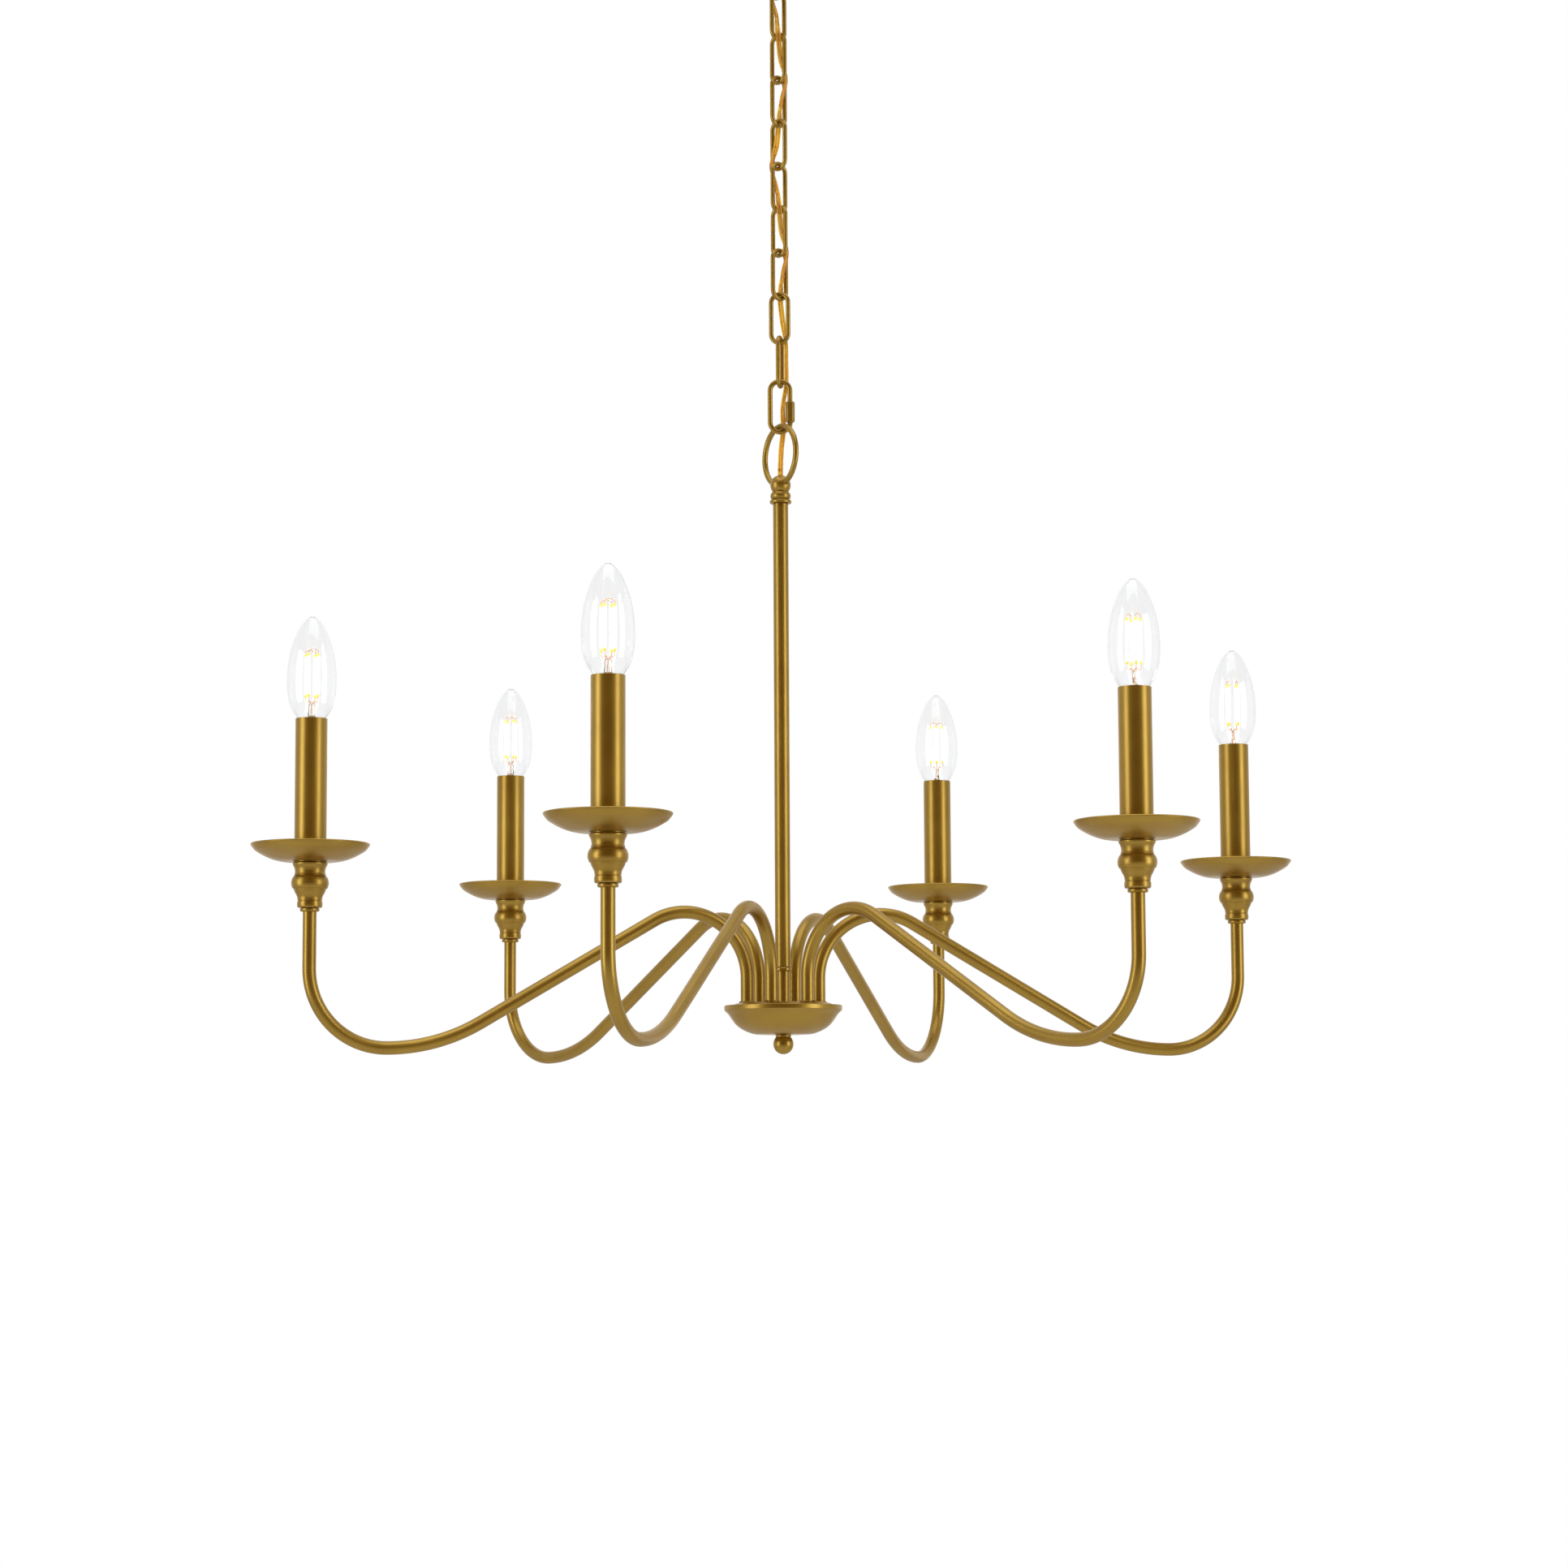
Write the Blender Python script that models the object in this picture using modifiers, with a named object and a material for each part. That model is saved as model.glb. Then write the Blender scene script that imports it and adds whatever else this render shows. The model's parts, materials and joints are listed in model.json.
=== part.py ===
"""Multi arm chandelier, hanging from a ceiling canopy on a short chain.

The origin is the centre of the mounting strap's face against the ceiling, +Z is up and the front is -Y.
Heights of the chandelier's own pieces are given from the plane of the hub's rim, in metres.
"""

import math

import bpy
from mathutils import Vector

MM = 0.001
GAP = 0.3 * MM  # running clearance between pieces that touch

# Ceiling fitting, heights from the ceiling.
STRAP_SIZE = (100 * MM, 20 * MM, 2.6 * MM)
STRAP_SCREW_X = 40 * MM
STRAP_SCREW_RADIUS = 2.4 * MM
CANOPY_RADIUS = 62 * MM
CANOPY_DEPTH = 25 * MM
CANOPY_HOLE = 13.4 * MM
FITTING_NIPPLE_RADIUS = 4.85 * MM
FITTING_COLLAR_RADIUS = 12.5 * MM
FITTING_COLLAR_Z = (-22 * MM, -36 * MM)
FITTING_RING_RADIUS = 9 * MM
FITTING_RING_WIRE = 4 * MM
FITTING_RING_TURN = math.radians(-45)
FITTING_BORE = 3 * MM

# Chain: each link's length over all, its width over all, and how far it is turned about the vertical.
LINK_LENGTH = 39.2 * MM
LINK_WIDTH = 16 * MM
LINK_WIRE = 3.3 * MM
LINK_TURNS = [math.radians(turn) for turn in (45, -45, 45, -45, 45, -45, 42, -15, 78)]
QUICK_LENGTH = 41 * MM
QUICK_WIDTH = 18 * MM
QUICK_WIRE = 3.6 * MM
QUICK_MOUTH = (9.7 * MM, 15.2 * MM)  # from the lowest centreline point of the quick link
QUICK_NUT_Z = (7.2 * MM, 22.2 * MM)
QUICK_NUT_RADIUS = 3.4 * MM

# Hanging loop on top of the stem.
LOOP_RADIUS = 21.45 * MM
LOOP_WIRE = 4.1 * MM
LOOP_TURN = math.radians(-58.8)
LOOP_HEIGHT = 397.5 * MM  # of the loop's centre
BALL_RADIUS = 7.4 * MM
BALL_HEIGHT = 375.7 * MM
BALL_FLAT = 370.6 * MM
CORD_BORE = 2.3 * MM

# Stem and hub.
STEM_RADIUS = 5.5 * MM
STEM_BORE = 4.2 * MM
STEM_TOP = 362 * MM
STEM_LOW = 27.9 * MM
LOWER_STEM_RADIUS = 4.65 * MM
NIPPLE_RADIUS = 3.3 * MM
NIPPLE_Z = (40 * MM, -25 * MM)
NIPPLE_BORE = 2.2 * MM
NIPPLE_HOLE = 3.7 * MM  # of every piece threaded over the centre nipple
PLATE_TOP = 2.6 * MM
PLATE_UNDER = 1.0 * MM
HUB_RADIUS = 41.9 * MM
BOWL_BOTTOM = -19.8 * MM
FINIAL_RADIUS = 7.2 * MM
FINIAL_HEIGHT = -26.6 * MM

# Arms: a riser at the hub, an over bend, a straight run down, a wide bend, and a tight bend up.
ARM_COUNT = 6
FIRST_ARM = math.radians(-108.5)
ARM_SWINGS = [math.radians(swing) for swing in (0, 0, 0.5, -3.5, -2.5, 8.5)]  # set by hand, about each root
ROOT_CIRCLE = 26 * MM
REACH = 340.5 * MM
ARM_RADIUS = 4.65 * MM
OVER_BEND = 46 * MM
OVER_BEND_START = 20.2 * MM
RUN_SLOPE = math.radians(30)
OUTER_BEND = 53.5 * MM
ARM_LOWEST = -30.3 * MM
COLLAR_RADIUS = 6.6 * MM
COLLAR_Z = (61.9 * MM, 64.1 * MM)
SPIGOT_RADIUS = 4 * MM
SPIGOT_TOP = 111 * MM
ROOT_SPIGOT_RADIUS = 3.7 * MM
ROOT_HOLE = 4 * MM
ROOT_NUT_RADIUS = 6 * MM
ROOT_NUT_Z = (-1.2 * MM, 0.7 * MM)

# Candle.
CUP_BOTTOM = 64.4 * MM
CUP_TOP = 95 * MM
DRIP_RADIUS = 40.4 * MM
DRIP_RIM = 107.3 * MM
SLEEVE_RADIUS = 10.85 * MM
SLEEVE_WALL = 0.8 * MM
SLEEVE_Z = (97.3 * MM, 193.5 * MM)
SPIGOT_HOLE = 4.4 * MM
HOLDER_RADIUS = 8.2 * MM
HOLDER_TOP = 186 * MM
BASE_RADIUS = 5.9 * MM

CORD_RADIUS = 1.5 * MM
CORD_STEPS = 2  # points of the cord for each stretch of its route

# Where the cord crosses the axis of the chain, in millimetres from it: first beside each place where two
# links meet, from the ceiling down, and the middle of the link below.
CORD_ROUTE_MM = [
    ((-5.1, 0.0), (-1.6, -1.6)),
    ((0.0, -5.1), (1.6, -1.6)),
    ((5.1, 0.0), (1.6, 1.6)),
    ((0.0, 5.1), (-1.6, 1.6)),
    ((-5.1, 0.0), (-1.6, -1.6)),
    ((0.0, -5.1), (1.6, -1.6)),
    ((5.1, -0.1), (2.0, 1.0)),
    ((0.6, 5.2), (2.0, 3.4)),
    ((4.2, 2.7), (4.6, 2.2)),
    ((4.5, 3.8), (2.0, 3.6)),
    ((2.2, 4.1), (0.7, 1.4)),
]


def find_materials():
    """The finishes: name, colour, metallic, roughness."""
    finishes = (
        ("antique_gold", (0.42, 0.29, 0.08), 0.9, 0.38),
        ("zinc_steel", (0.55, 0.56, 0.58), 1.0, 0.4),
        ("lamp_holder", (0.85, 0.83, 0.78), 0.0, 0.5),
        ("clear_glass", (0.92, 0.94, 0.95), 0.0, 0.05),
        ("amber_cord", (0.78, 0.45, 0.08), 0.0, 0.25),
    )
    made = {}
    for name, colour, metallic, roughness in finishes:
        made[name] = bpy.data.materials.new(name)
        made[name].use_nodes = True
        shader = made[name].node_tree.nodes["Principled BSDF"]
        shader.inputs["Base Color"].default_value = (*colour, 1)
        shader.inputs["Metallic"].default_value = metallic
        shader.inputs["Roughness"].default_value = roughness
    return made


for old in list(bpy.data.objects):
    bpy.data.objects.remove(old)
PARTS = bpy.data.collections.new("multi_arm_chandelier")
CUTTERS = bpy.data.collections.new("cutters")
bpy.context.scene.collection.children.link(PARTS)
bpy.context.scene.collection.children.link(CUTTERS)
MATERIALS = find_materials()


def place(obj, material=None, location=(0, 0, 0), turn=0.0, parent=None):
    """Puts a piece in the model, or a tool with no material among the cutters."""
    obj.location = location
    obj.rotation_euler = (0, 0, turn)
    obj.parent = parent
    if material:
        obj.data.materials.append(MATERIALS[material])
        PARTS.objects.link(obj)
    else:
        CUTTERS.objects.link(obj)
        obj.hide_render = True
        obj.display_type = "WIRE"
    return obj


def arc(centre, radius, start, end, steps):
    """Points (x, z) of a round stretch, angles in degrees from +X."""
    angles = [math.radians(start + (end - start) * i / steps) for i in range(steps + 1)]
    return [(centre[0] + radius * math.cos(a), centre[1] + radius * math.sin(a)) for a in angles]


def turned(name, outline, steps, closed=True):
    """A turned piece from its outline of (radius, height), the outer side running down."""
    mesh = bpy.data.meshes.new(name)
    edges = [(i, i + 1) for i in range(len(outline) - 1)]
    if closed:
        edges.append((len(outline) - 1, 0))
    mesh.from_pydata([(r, 0, z) for r, z in outline], edges, [])
    obj = bpy.data.objects.new(name, mesh)
    screw = obj.modifiers.new("turn", "SCREW")
    screw.axis = "Z"
    screw.angle = math.tau
    screw.steps = screw.render_steps = steps
    screw.use_merge_vertices = True
    screw.merge_threshold = 0.00001
    return obj


def wire(name, points, radius, cyclic=False, radii=None):
    """A round bar along points, its radius times each point's factor where radii are given."""
    curve = bpy.data.curves.new(name, "CURVE")
    curve.dimensions = "3D"
    curve.bevel_depth = radius
    curve.bevel_resolution = 2
    curve.use_fill_caps = not cyclic
    spline = curve.splines.new("POLY")
    spline.points.add(len(points) - 1)
    for i, point in enumerate(points):
        spline.points[i].co = (*point, 1)
        if radii:
            spline.points[i].radius = radii[i] / radius
    spline.use_cyclic_u = cyclic
    return bpy.data.objects.new(name, curve)


def claim(name):
    """The primitive just added, named and taken out of the scene's own collection."""
    obj = bpy.context.object
    obj.name = name
    for owner in list(obj.users_collection):
        owner.objects.unlink(obj)
    return obj


def torus(name, major, minor, location, turn):
    """A ring standing upright, as a tool to join to a piece."""
    bpy.ops.mesh.primitive_torus_add(
        major_radius=major, minor_radius=minor, major_segments=24, minor_segments=8
    )
    obj = place(claim(name), None, location, turn)
    obj.rotation_euler = (math.radians(90), 0, turn)
    return obj


def drill(name, radius, top, bottom, at=(0, 0), sides=12):
    """A cylinder to cut a bore from top to bottom."""
    bpy.ops.mesh.primitive_cylinder_add(vertices=sides, radius=radius, depth=top - bottom)
    return place(claim(name), None, (at[0], at[1], (top + bottom) / 2))


def combine(obj, tool, operation):
    """Joins a tool to a piece or cuts it away."""
    boolean = obj.modifiers.new(tool.name, "BOOLEAN")
    boolean.operation = operation
    boolean.object = tool
    boolean.solver = "EXACT"


# Heights down the chain, worked out from the ceiling. A pivot is the lowest centreline point of the upper
# wire, where the next link hangs.
FITTING_RING_Z = FITTING_COLLAR_Z[1] - FITTING_RING_RADIUS
CHAIN_PIVOTS = [FITTING_RING_Z - FITTING_RING_RADIUS]
ABOVE_WIRE = FITTING_RING_WIRE
for _ in LINK_TURNS:
    link_top = CHAIN_PIVOTS[-1] + (ABOVE_WIRE + LINK_WIRE) / 2 + GAP
    CHAIN_PIVOTS.append(link_top - (LINK_LENGTH - LINK_WIRE))
    ABOVE_WIRE = LINK_WIRE
QUICK_TOP = CHAIN_PIVOTS[-1] + (LINK_WIRE + QUICK_WIRE) / 2 + GAP
QUICK_LOW = QUICK_TOP - (QUICK_LENGTH - QUICK_WIRE)
LOOP_TOP = QUICK_LOW + (QUICK_WIRE + LOOP_WIRE) / 2 + GAP
HUB_Z = LOOP_TOP - LOOP_RADIUS - LOOP_HEIGHT  # the plane of the hub's rim
HUB = (0, 0, HUB_Z)


def make_ceiling_fitting():
    length, width, thickness = STRAP_SIZE
    bpy.ops.mesh.primitive_cube_add(size=1)
    strap = claim("mounting_strap")
    for vertex in strap.data.vertices:
        vertex.co = (vertex.co.x * length, vertex.co.y * width, vertex.co.z * thickness)
    place(strap, "zinc_steel", (0, 0, -thickness / 2))
    combine(strap, drill("strap_bore", FITTING_NIPPLE_RADIUS + GAP, MM, -4 * MM), "DIFFERENCE")
    for side in (-1, 1):
        hole = drill(f"strap_hole_{side + 2}", STRAP_SCREW_RADIUS, MM, -4 * MM, (side * STRAP_SCREW_X, 0))
        combine(strap, hole, "DIFFERENCE")

    rim = -0.6 * MM
    outside = [
        (CANOPY_RADIUS, rim),
        (CANOPY_RADIUS, -2.4 * MM),
        (60.5 * MM, -5 * MM),
        (54 * MM, -11 * MM),
        (42 * MM, -18 * MM),
        (28 * MM, -23 * MM),
        (18 * MM, -CANOPY_DEPTH),
        (CANOPY_HOLE, -CANOPY_DEPTH),
    ]
    inside = [(max(r - 1.1 * MM, CANOPY_HOLE), min(z + 1.1 * MM, rim)) for r, z in outside]
    place(turned("canopy", outside + inside[::-1][:-1], 20), "antique_gold")

    nut = [(15.0, -25.3), (17.0, -25.9), (17.0, -31.0), (15.4, -33.0), (12.9, -33.0), (12.9, -25.3)]
    place(turned("canopy_collar_nut", [(r * MM, z * MM) for r, z in nut], 16), "antique_gold")

    top, low = FITTING_COLLAR_Z
    fitting = turned(
        "canopy_loop",
        [
            (0, rim),
            (FITTING_NIPPLE_RADIUS, rim),
            (FITTING_NIPPLE_RADIUS, top),
            (FITTING_COLLAR_RADIUS, top),
            (FITTING_COLLAR_RADIUS, low),
            (0, low),
        ],
        16,
        closed=False,
    )
    place(fitting, "antique_gold")
    ring = torus("canopy_ring", FITTING_RING_RADIUS, FITTING_RING_WIRE / 2,
                 (0, 0, FITTING_RING_Z), FITTING_RING_TURN)
    combine(fitting, ring, "UNION")
    combine(fitting, drill("fitting_bore", FITTING_BORE, MM, low - 5 * MM), "DIFFERENCE")


def link_outline(length, width, steps):
    """The centreline of an oval link over its lowest point, as (x, z), starting up the right side."""
    bend = width / 2
    upper = arc((0, length - bend), bend, 0, 180, steps)
    lower = arc((0, bend), bend, 180, 360, steps)
    return upper + lower


def make_chain():
    straight = link_outline(LINK_LENGTH - LINK_WIRE, LINK_WIDTH - LINK_WIRE, 6)
    for i, turn in enumerate(LINK_TURNS):
        low = CHAIN_PIVOTS[i + 1] - CHAIN_PIVOTS[i]
        points = [(x, 0, z + low) for x, z in straight]
        link = wire(f"chain_link_{i + 1}", points, LINK_WIRE / 2, cyclic=True)
        place(link, "antique_gold", (0, 0, CHAIN_PIVOTS[i]), turn)


def make_quick_link():
    """A link with a mouth on its right side, closed by a threaded sleeve."""
    low = QUICK_LOW - CHAIN_PIVOTS[-1]
    side = (QUICK_WIDTH - QUICK_WIRE) / 2
    ring = link_outline(QUICK_LENGTH - QUICK_WIRE, QUICK_WIDTH - QUICK_WIRE, 8)
    path = [(side, QUICK_MOUTH[1])] + ring + [(side, QUICK_MOUTH[0])]
    link = wire("quick_link", [(x, 0, z + low) for x, z in path], QUICK_WIRE / 2)
    place(link, "antique_gold", (0, 0, CHAIN_PIVOTS[-1]))
    bottom, top = QUICK_NUT_Z
    bpy.ops.mesh.primitive_cylinder_add(vertices=6, radius=QUICK_NUT_RADIUS, depth=top - bottom)
    nut = claim("quick_link_nut")
    place(nut, "antique_gold", (side, 0, QUICK_LOW + (top + bottom) / 2))
    bore = drill("nut_bore", QUICK_WIRE / 2 + GAP, QUICK_LOW + top + MM, QUICK_LOW + bottom - MM, (side, 0))
    combine(nut, bore, "DIFFERENCE")


def make_hanging_loop():
    """The loop, cast in one with the ball that it stands on, and the ball's spigot inside the stem."""
    start = math.degrees(math.asin((BALL_FLAT - BALL_HEIGHT) / BALL_RADIUS))
    ball = arc((0, BALL_HEIGHT), BALL_RADIUS, 90, start, 7)
    spigot = STEM_BORE - 0.5 * MM
    spigot_low = STEM_TOP - 10 * MM
    outline = [(0, ball[0][1])] + ball[1:] + [(spigot, BALL_FLAT), (spigot, spigot_low), (0, spigot_low)]
    loop = turned("hanging_loop", outline, 16, closed=False)
    place(loop, "antique_gold", HUB)
    ring = torus("loop_ring", LOOP_RADIUS, LOOP_WIRE / 2, (0, 0, HUB_Z + LOOP_HEIGHT), LOOP_TURN)
    combine(loop, ring, "UNION")
    bore = drill("ball_bore", CORD_BORE, HUB_Z + BALL_HEIGHT + 8.2 * MM, HUB_Z + spigot_low - MM)
    combine(loop, bore, "DIFFERENCE")


def make_stem():
    bead = arc((3.4 * MM, 367.7 * MM), 4 * MM, 40, -40, 4)
    top = BALL_FLAT - GAP
    flange_top, flange_low = 364.5 * MM, STEM_TOP + GAP
    collar = [(5.4 * MM, top)] + bead + [
        (7.7 * MM, flange_top),
        (7.9 * MM, flange_top - 1.1 * MM),
        (7.7 * MM, flange_low),
        (4 * MM, flange_low),
        (4 * MM, top),
    ]
    place(turned("stem_collar", collar, 16), "antique_gold", HUB)

    stem = [(STEM_RADIUS, STEM_TOP), (STEM_RADIUS, STEM_LOW), (STEM_BORE, STEM_LOW), (STEM_BORE, STEM_TOP)]
    place(turned("stem", stem, 16), "antique_gold", HUB)
    ring_radius, ring_top, ring_low = 6 * MM, STEM_LOW - GAP, 25 * MM
    lower_stem = [
        (ring_radius, ring_top),
        (ring_radius, ring_low),
        (LOWER_STEM_RADIUS, ring_low),
        (LOWER_STEM_RADIUS, PLATE_TOP + GAP),
        (NIPPLE_HOLE, PLATE_TOP + GAP),
        (NIPPLE_HOLE, ring_top),
    ]
    place(turned("lower_stem", lower_stem, 16), "antique_gold", HUB)


def make_hub():
    """A lid that carries the arms, on a bowl that closes it from below."""
    lid_edge = HUB_RADIUS - 2 * MM
    lid = [
        (30.9 * MM, PLATE_TOP),
        (33 * MM, 2.3 * MM),
        (37.2 * MM, 0.9 * MM),
        (lid_edge, 0.3 * MM),
        (lid_edge, -1.4 * MM),
        (37 * MM, -0.9 * MM),
        (34.2 * MM, 0.4 * MM),
        (32.6 * MM, PLATE_UNDER),
        (NIPPLE_HOLE, PLATE_UNDER),
        (NIPPLE_HOLE, PLATE_TOP),
    ]
    plate = turned("hub_plate", lid, 20)
    place(plate, "antique_gold", HUB)
    for k in range(ARM_COUNT):
        angle = FIRST_ARM + k * math.tau / ARM_COUNT
        spot = (ROOT_CIRCLE * math.cos(angle), ROOT_CIRCLE * math.sin(angle))
        hole = drill(f"arm_hole_{k + 1}", ROOT_HOLE, HUB_Z + 8 * MM, HUB_Z - MM, spot)
        combine(plate, hole, "DIFFERENCE")

    outside = [
        (41.5, 0.8), (41.9, 0.3), (41.9, -2.3), (41.2, -3.3), (39.2, -5.2), (36.8, -8.7),
        (34.6, -11.8), (31.8, -14.7), (27.0, -17.6), (22.5, -19.2), (17.0, -19.8), (3.7, -19.8),
    ]
    inside = [
        (3.7, -18.4), (16.6, -18.4), (21.8, -17.9), (26.0, -16.4), (30.8, -13.5), (33.4, -10.8),
        (35.6, -7.7), (37.6, -4.7), (38.1, -1.7), (40.3, -1.7), (40.3, 0.8),
    ]
    place(turned("hub_bowl", [(r * MM, z * MM) for r, z in outside + inside], 20), "antique_gold", HUB)

    lock_top, lock_low = PLATE_UNDER - GAP, -1.2 * MM
    nipple = [
        (NIPPLE_RADIUS, NIPPLE_Z[0]),
        (NIPPLE_RADIUS, lock_top),
        (6.4 * MM, lock_top),
        (6.4 * MM, lock_low),
        (NIPPLE_RADIUS, lock_low),
        (NIPPLE_RADIUS, NIPPLE_Z[1]),
        (NIPPLE_BORE, NIPPLE_Z[1]),
        (NIPPLE_BORE, NIPPLE_Z[0]),
    ]
    place(turned("centre_nipple", nipple, 12), "zinc_steel", HUB)

    neck, neck_top, bore_end = 5.6 * MM, BOWL_BOTTOM - GAP, -25.4 * MM
    start = math.degrees(math.acos(neck / FINIAL_RADIUS))
    ball = arc((0, FINIAL_HEIGHT), FINIAL_RADIUS, start, -90, 8)
    finial = [(0, bore_end), (NIPPLE_HOLE, bore_end), (NIPPLE_HOLE, neck_top), (neck, neck_top)]
    finial += ball[:-1] + [(0, ball[-1][1])]
    place(turned("finial", finial, 16, closed=False), "antique_gold", HUB)


def arm_path():
    """Centreline (x from the swivel axis, z from the rim plane) of the arm above its root spigot."""
    top_centre = (OVER_BEND, OVER_BEND_START)
    over = arc(top_centre, OVER_BEND, 180, 90 - math.degrees(RUN_SLOPE), 8)
    lowest_x = REACH - ROOT_CIRCLE - OUTER_BEND
    start_x, start_z = over[-1]
    drop = math.tan(RUN_SLOPE) * (lowest_x - start_x) - (start_z - ARM_LOWEST)
    wide = drop * math.cos(RUN_SLOPE) / (1 - math.cos(RUN_SLOPE))
    inner = arc((lowest_x, ARM_LOWEST + wide), wide, 270 - math.degrees(RUN_SLOPE), 270, 3)
    outer = arc((lowest_x, ARM_LOWEST + OUTER_BEND), OUTER_BEND, 270, 360, 7)
    return over + inner + outer[1:]


def make_arm():
    """The tube with its root spigot and lock nut, and its collar and spigot under the candle."""
    end_x = REACH - ROOT_CIRCLE
    step = 0.15 * MM
    root = [
        (ROOT_NUT_Z[0], ROOT_NUT_RADIUS),
        (ROOT_NUT_Z[1] - step, ROOT_NUT_RADIUS),
        (ROOT_NUT_Z[1], ROOT_SPIGOT_RADIUS),
        (PLATE_TOP + GAP, ROOT_SPIGOT_RADIUS),
        (PLATE_TOP + GAP + step, ARM_RADIUS),
    ]
    tip = [
        (COLLAR_Z[0] - step, ARM_RADIUS),
        (COLLAR_Z[0], COLLAR_RADIUS),
        (COLLAR_Z[1] - step, COLLAR_RADIUS),
        (COLLAR_Z[1], SPIGOT_RADIUS),
        (SPIGOT_TOP, SPIGOT_RADIUS),
    ]
    path = arm_path()
    points = [(0, 0, z) for z, _ in root] + [(x, 0, z) for x, z in path] + [(end_x, 0, z) for z, _ in tip]
    radii = [r for _, r in root] + [ARM_RADIUS] * len(path) + [r for _, r in tip]
    return wire("arm", points, ARM_RADIUS, radii=radii)


def make_cup():
    outline = [
        (11.5, 95.0), (11.5, 93.4), (10.6, 91.0), (10.6, 87.0), (12.2, 84.0), (12.6, 81.2), (12.0, 77.6),
        (9.8, 74.0), (8.3, 71.0), (8.5, 66.4), (8.1, 64.4), (4.4, 64.4), (4.4, 95.0),
    ]
    return turned("cup", [(r * MM, z * MM) for r, z in outline], 12)


def make_drip_pan():
    under = [(DRIP_RADIUS, DRIP_RIM)]
    under += [(37.2 * MM, 103.2 * MM), (32 * MM, 100 * MM), (26.5 * MM, 97.6 * MM), (20 * MM, 96 * MM)]
    boss = [(10.8 * MM, 95.7 * MM), (10.8 * MM, CUP_TOP + GAP), (SPIGOT_HOLE, CUP_TOP + GAP)]
    over = [(SPIGOT_HOLE, 96.9 * MM), (19.8 * MM, 97.1 * MM), (26 * MM, 98.7 * MM)]
    over += [(31.4 * MM, 101.1 * MM), (36.2 * MM, 104.1 * MM), (39.8 * MM, 108.2 * MM)]
    return turned("drip_pan", under + boss + over, 18)


def make_sleeve():
    inner = SLEEVE_RADIUS - SLEEVE_WALL
    low, top = SLEEVE_Z
    outline = [(SLEEVE_RADIUS, top), (SLEEVE_RADIUS, low), (inner, low), (inner, top)]
    return turned("candle_sleeve", outline, 16)


def make_holder():
    """A candelabra lamp holder on its riser, open at the top for the lamp's base."""
    cavity, floor = BASE_RADIUS + 0.5 * MM, 166 * MM
    riser, shoulder, low = 5.8 * MM, 150 * MM, 97.3 * MM
    outline = [
        (0, floor),
        (cavity, floor),
        (cavity, HOLDER_TOP),
        (HOLDER_RADIUS, HOLDER_TOP),
        (HOLDER_RADIUS, shoulder),
        (riser, shoulder - 3 * MM),
        (riser, low),
        (SPIGOT_HOLE, low),
        (SPIGOT_HOLE, SPIGOT_TOP + MM),
        (0, SPIGOT_TOP + MM),
    ]
    return turned("lamp_holder", outline, 12, closed=False)


def make_bulb():
    """A candle lamp: its glass and screw base as one outer shape."""
    glass = [
        (0, 264), (4.2, 262.0), (7.6, 258.0), (11.6, 249.6), (15.2, 238.0), (16.6, 226.0), (16.8, 218.0),
        (16.0, 209.0), (14.0, 201.0), (9.1, 193.4), (6.6, 189.0),
    ]
    base = [(5.9, 187.6), (5.9, 170.6), (3.0, 168.2), (0, 168.0)]
    return turned("bulb", [(r * MM, z * MM) for r, z in glass + base], 12, closed=False)


def make_arms():
    """Six alike, each on an empty at its swivel axis on the hub plate, with the swing it was set to."""
    candle = (REACH - ROOT_CIRCLE, 0, 0)
    pieces = (
        (make_arm(), "antique_gold", (0, 0, 0)),
        (make_cup(), "antique_gold", candle),
        (make_drip_pan(), "antique_gold", candle),
        (make_sleeve(), "antique_gold", candle),
        (make_holder(), "lamp_holder", candle),
        (make_bulb(), "clear_glass", candle),
    )
    for k in range(ARM_COUNT):
        angle = FIRST_ARM + k * math.tau / ARM_COUNT
        swivel = bpy.data.objects.new(f"arm_swivel_{k + 1}", None)
        spot = (ROOT_CIRCLE * math.cos(angle), ROOT_CIRCLE * math.sin(angle), HUB_Z)
        swivel.location = spot
        swivel.rotation_euler = (0, 0, angle + ARM_SWINGS[k])
        PARTS.objects.link(swivel)
        for model, material, spot in pieces:
            piece = model if k == 0 else model.copy()
            piece.name = f"{model.name.split('_1')[0]}_{k + 1}"
            if k == 0:
                place(piece, material, spot, 0.0, swivel)
            else:
                PARTS.objects.link(piece)
                piece.parent = swivel


def smooth_route(points, steps):
    """Points along a Catmull-Rom curve through the route's own points."""
    padded = [points[0] * 2 - points[1]] + points + [points[-1] * 2 - points[-2]]
    route = []
    for i in range(1, len(padded) - 2):
        before, start, end, after = padded[i - 1:i + 3]
        for k in range(steps):
            t = k / steps
            route.append(
                0.5 * (2 * start + (end - before) * t + (2 * before - 5 * start + 4 * end - after) * t * t
                       + (3 * start - before - 3 * end + after) * t ** 3)
            )
    route.append(points[-1])
    return route


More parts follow.
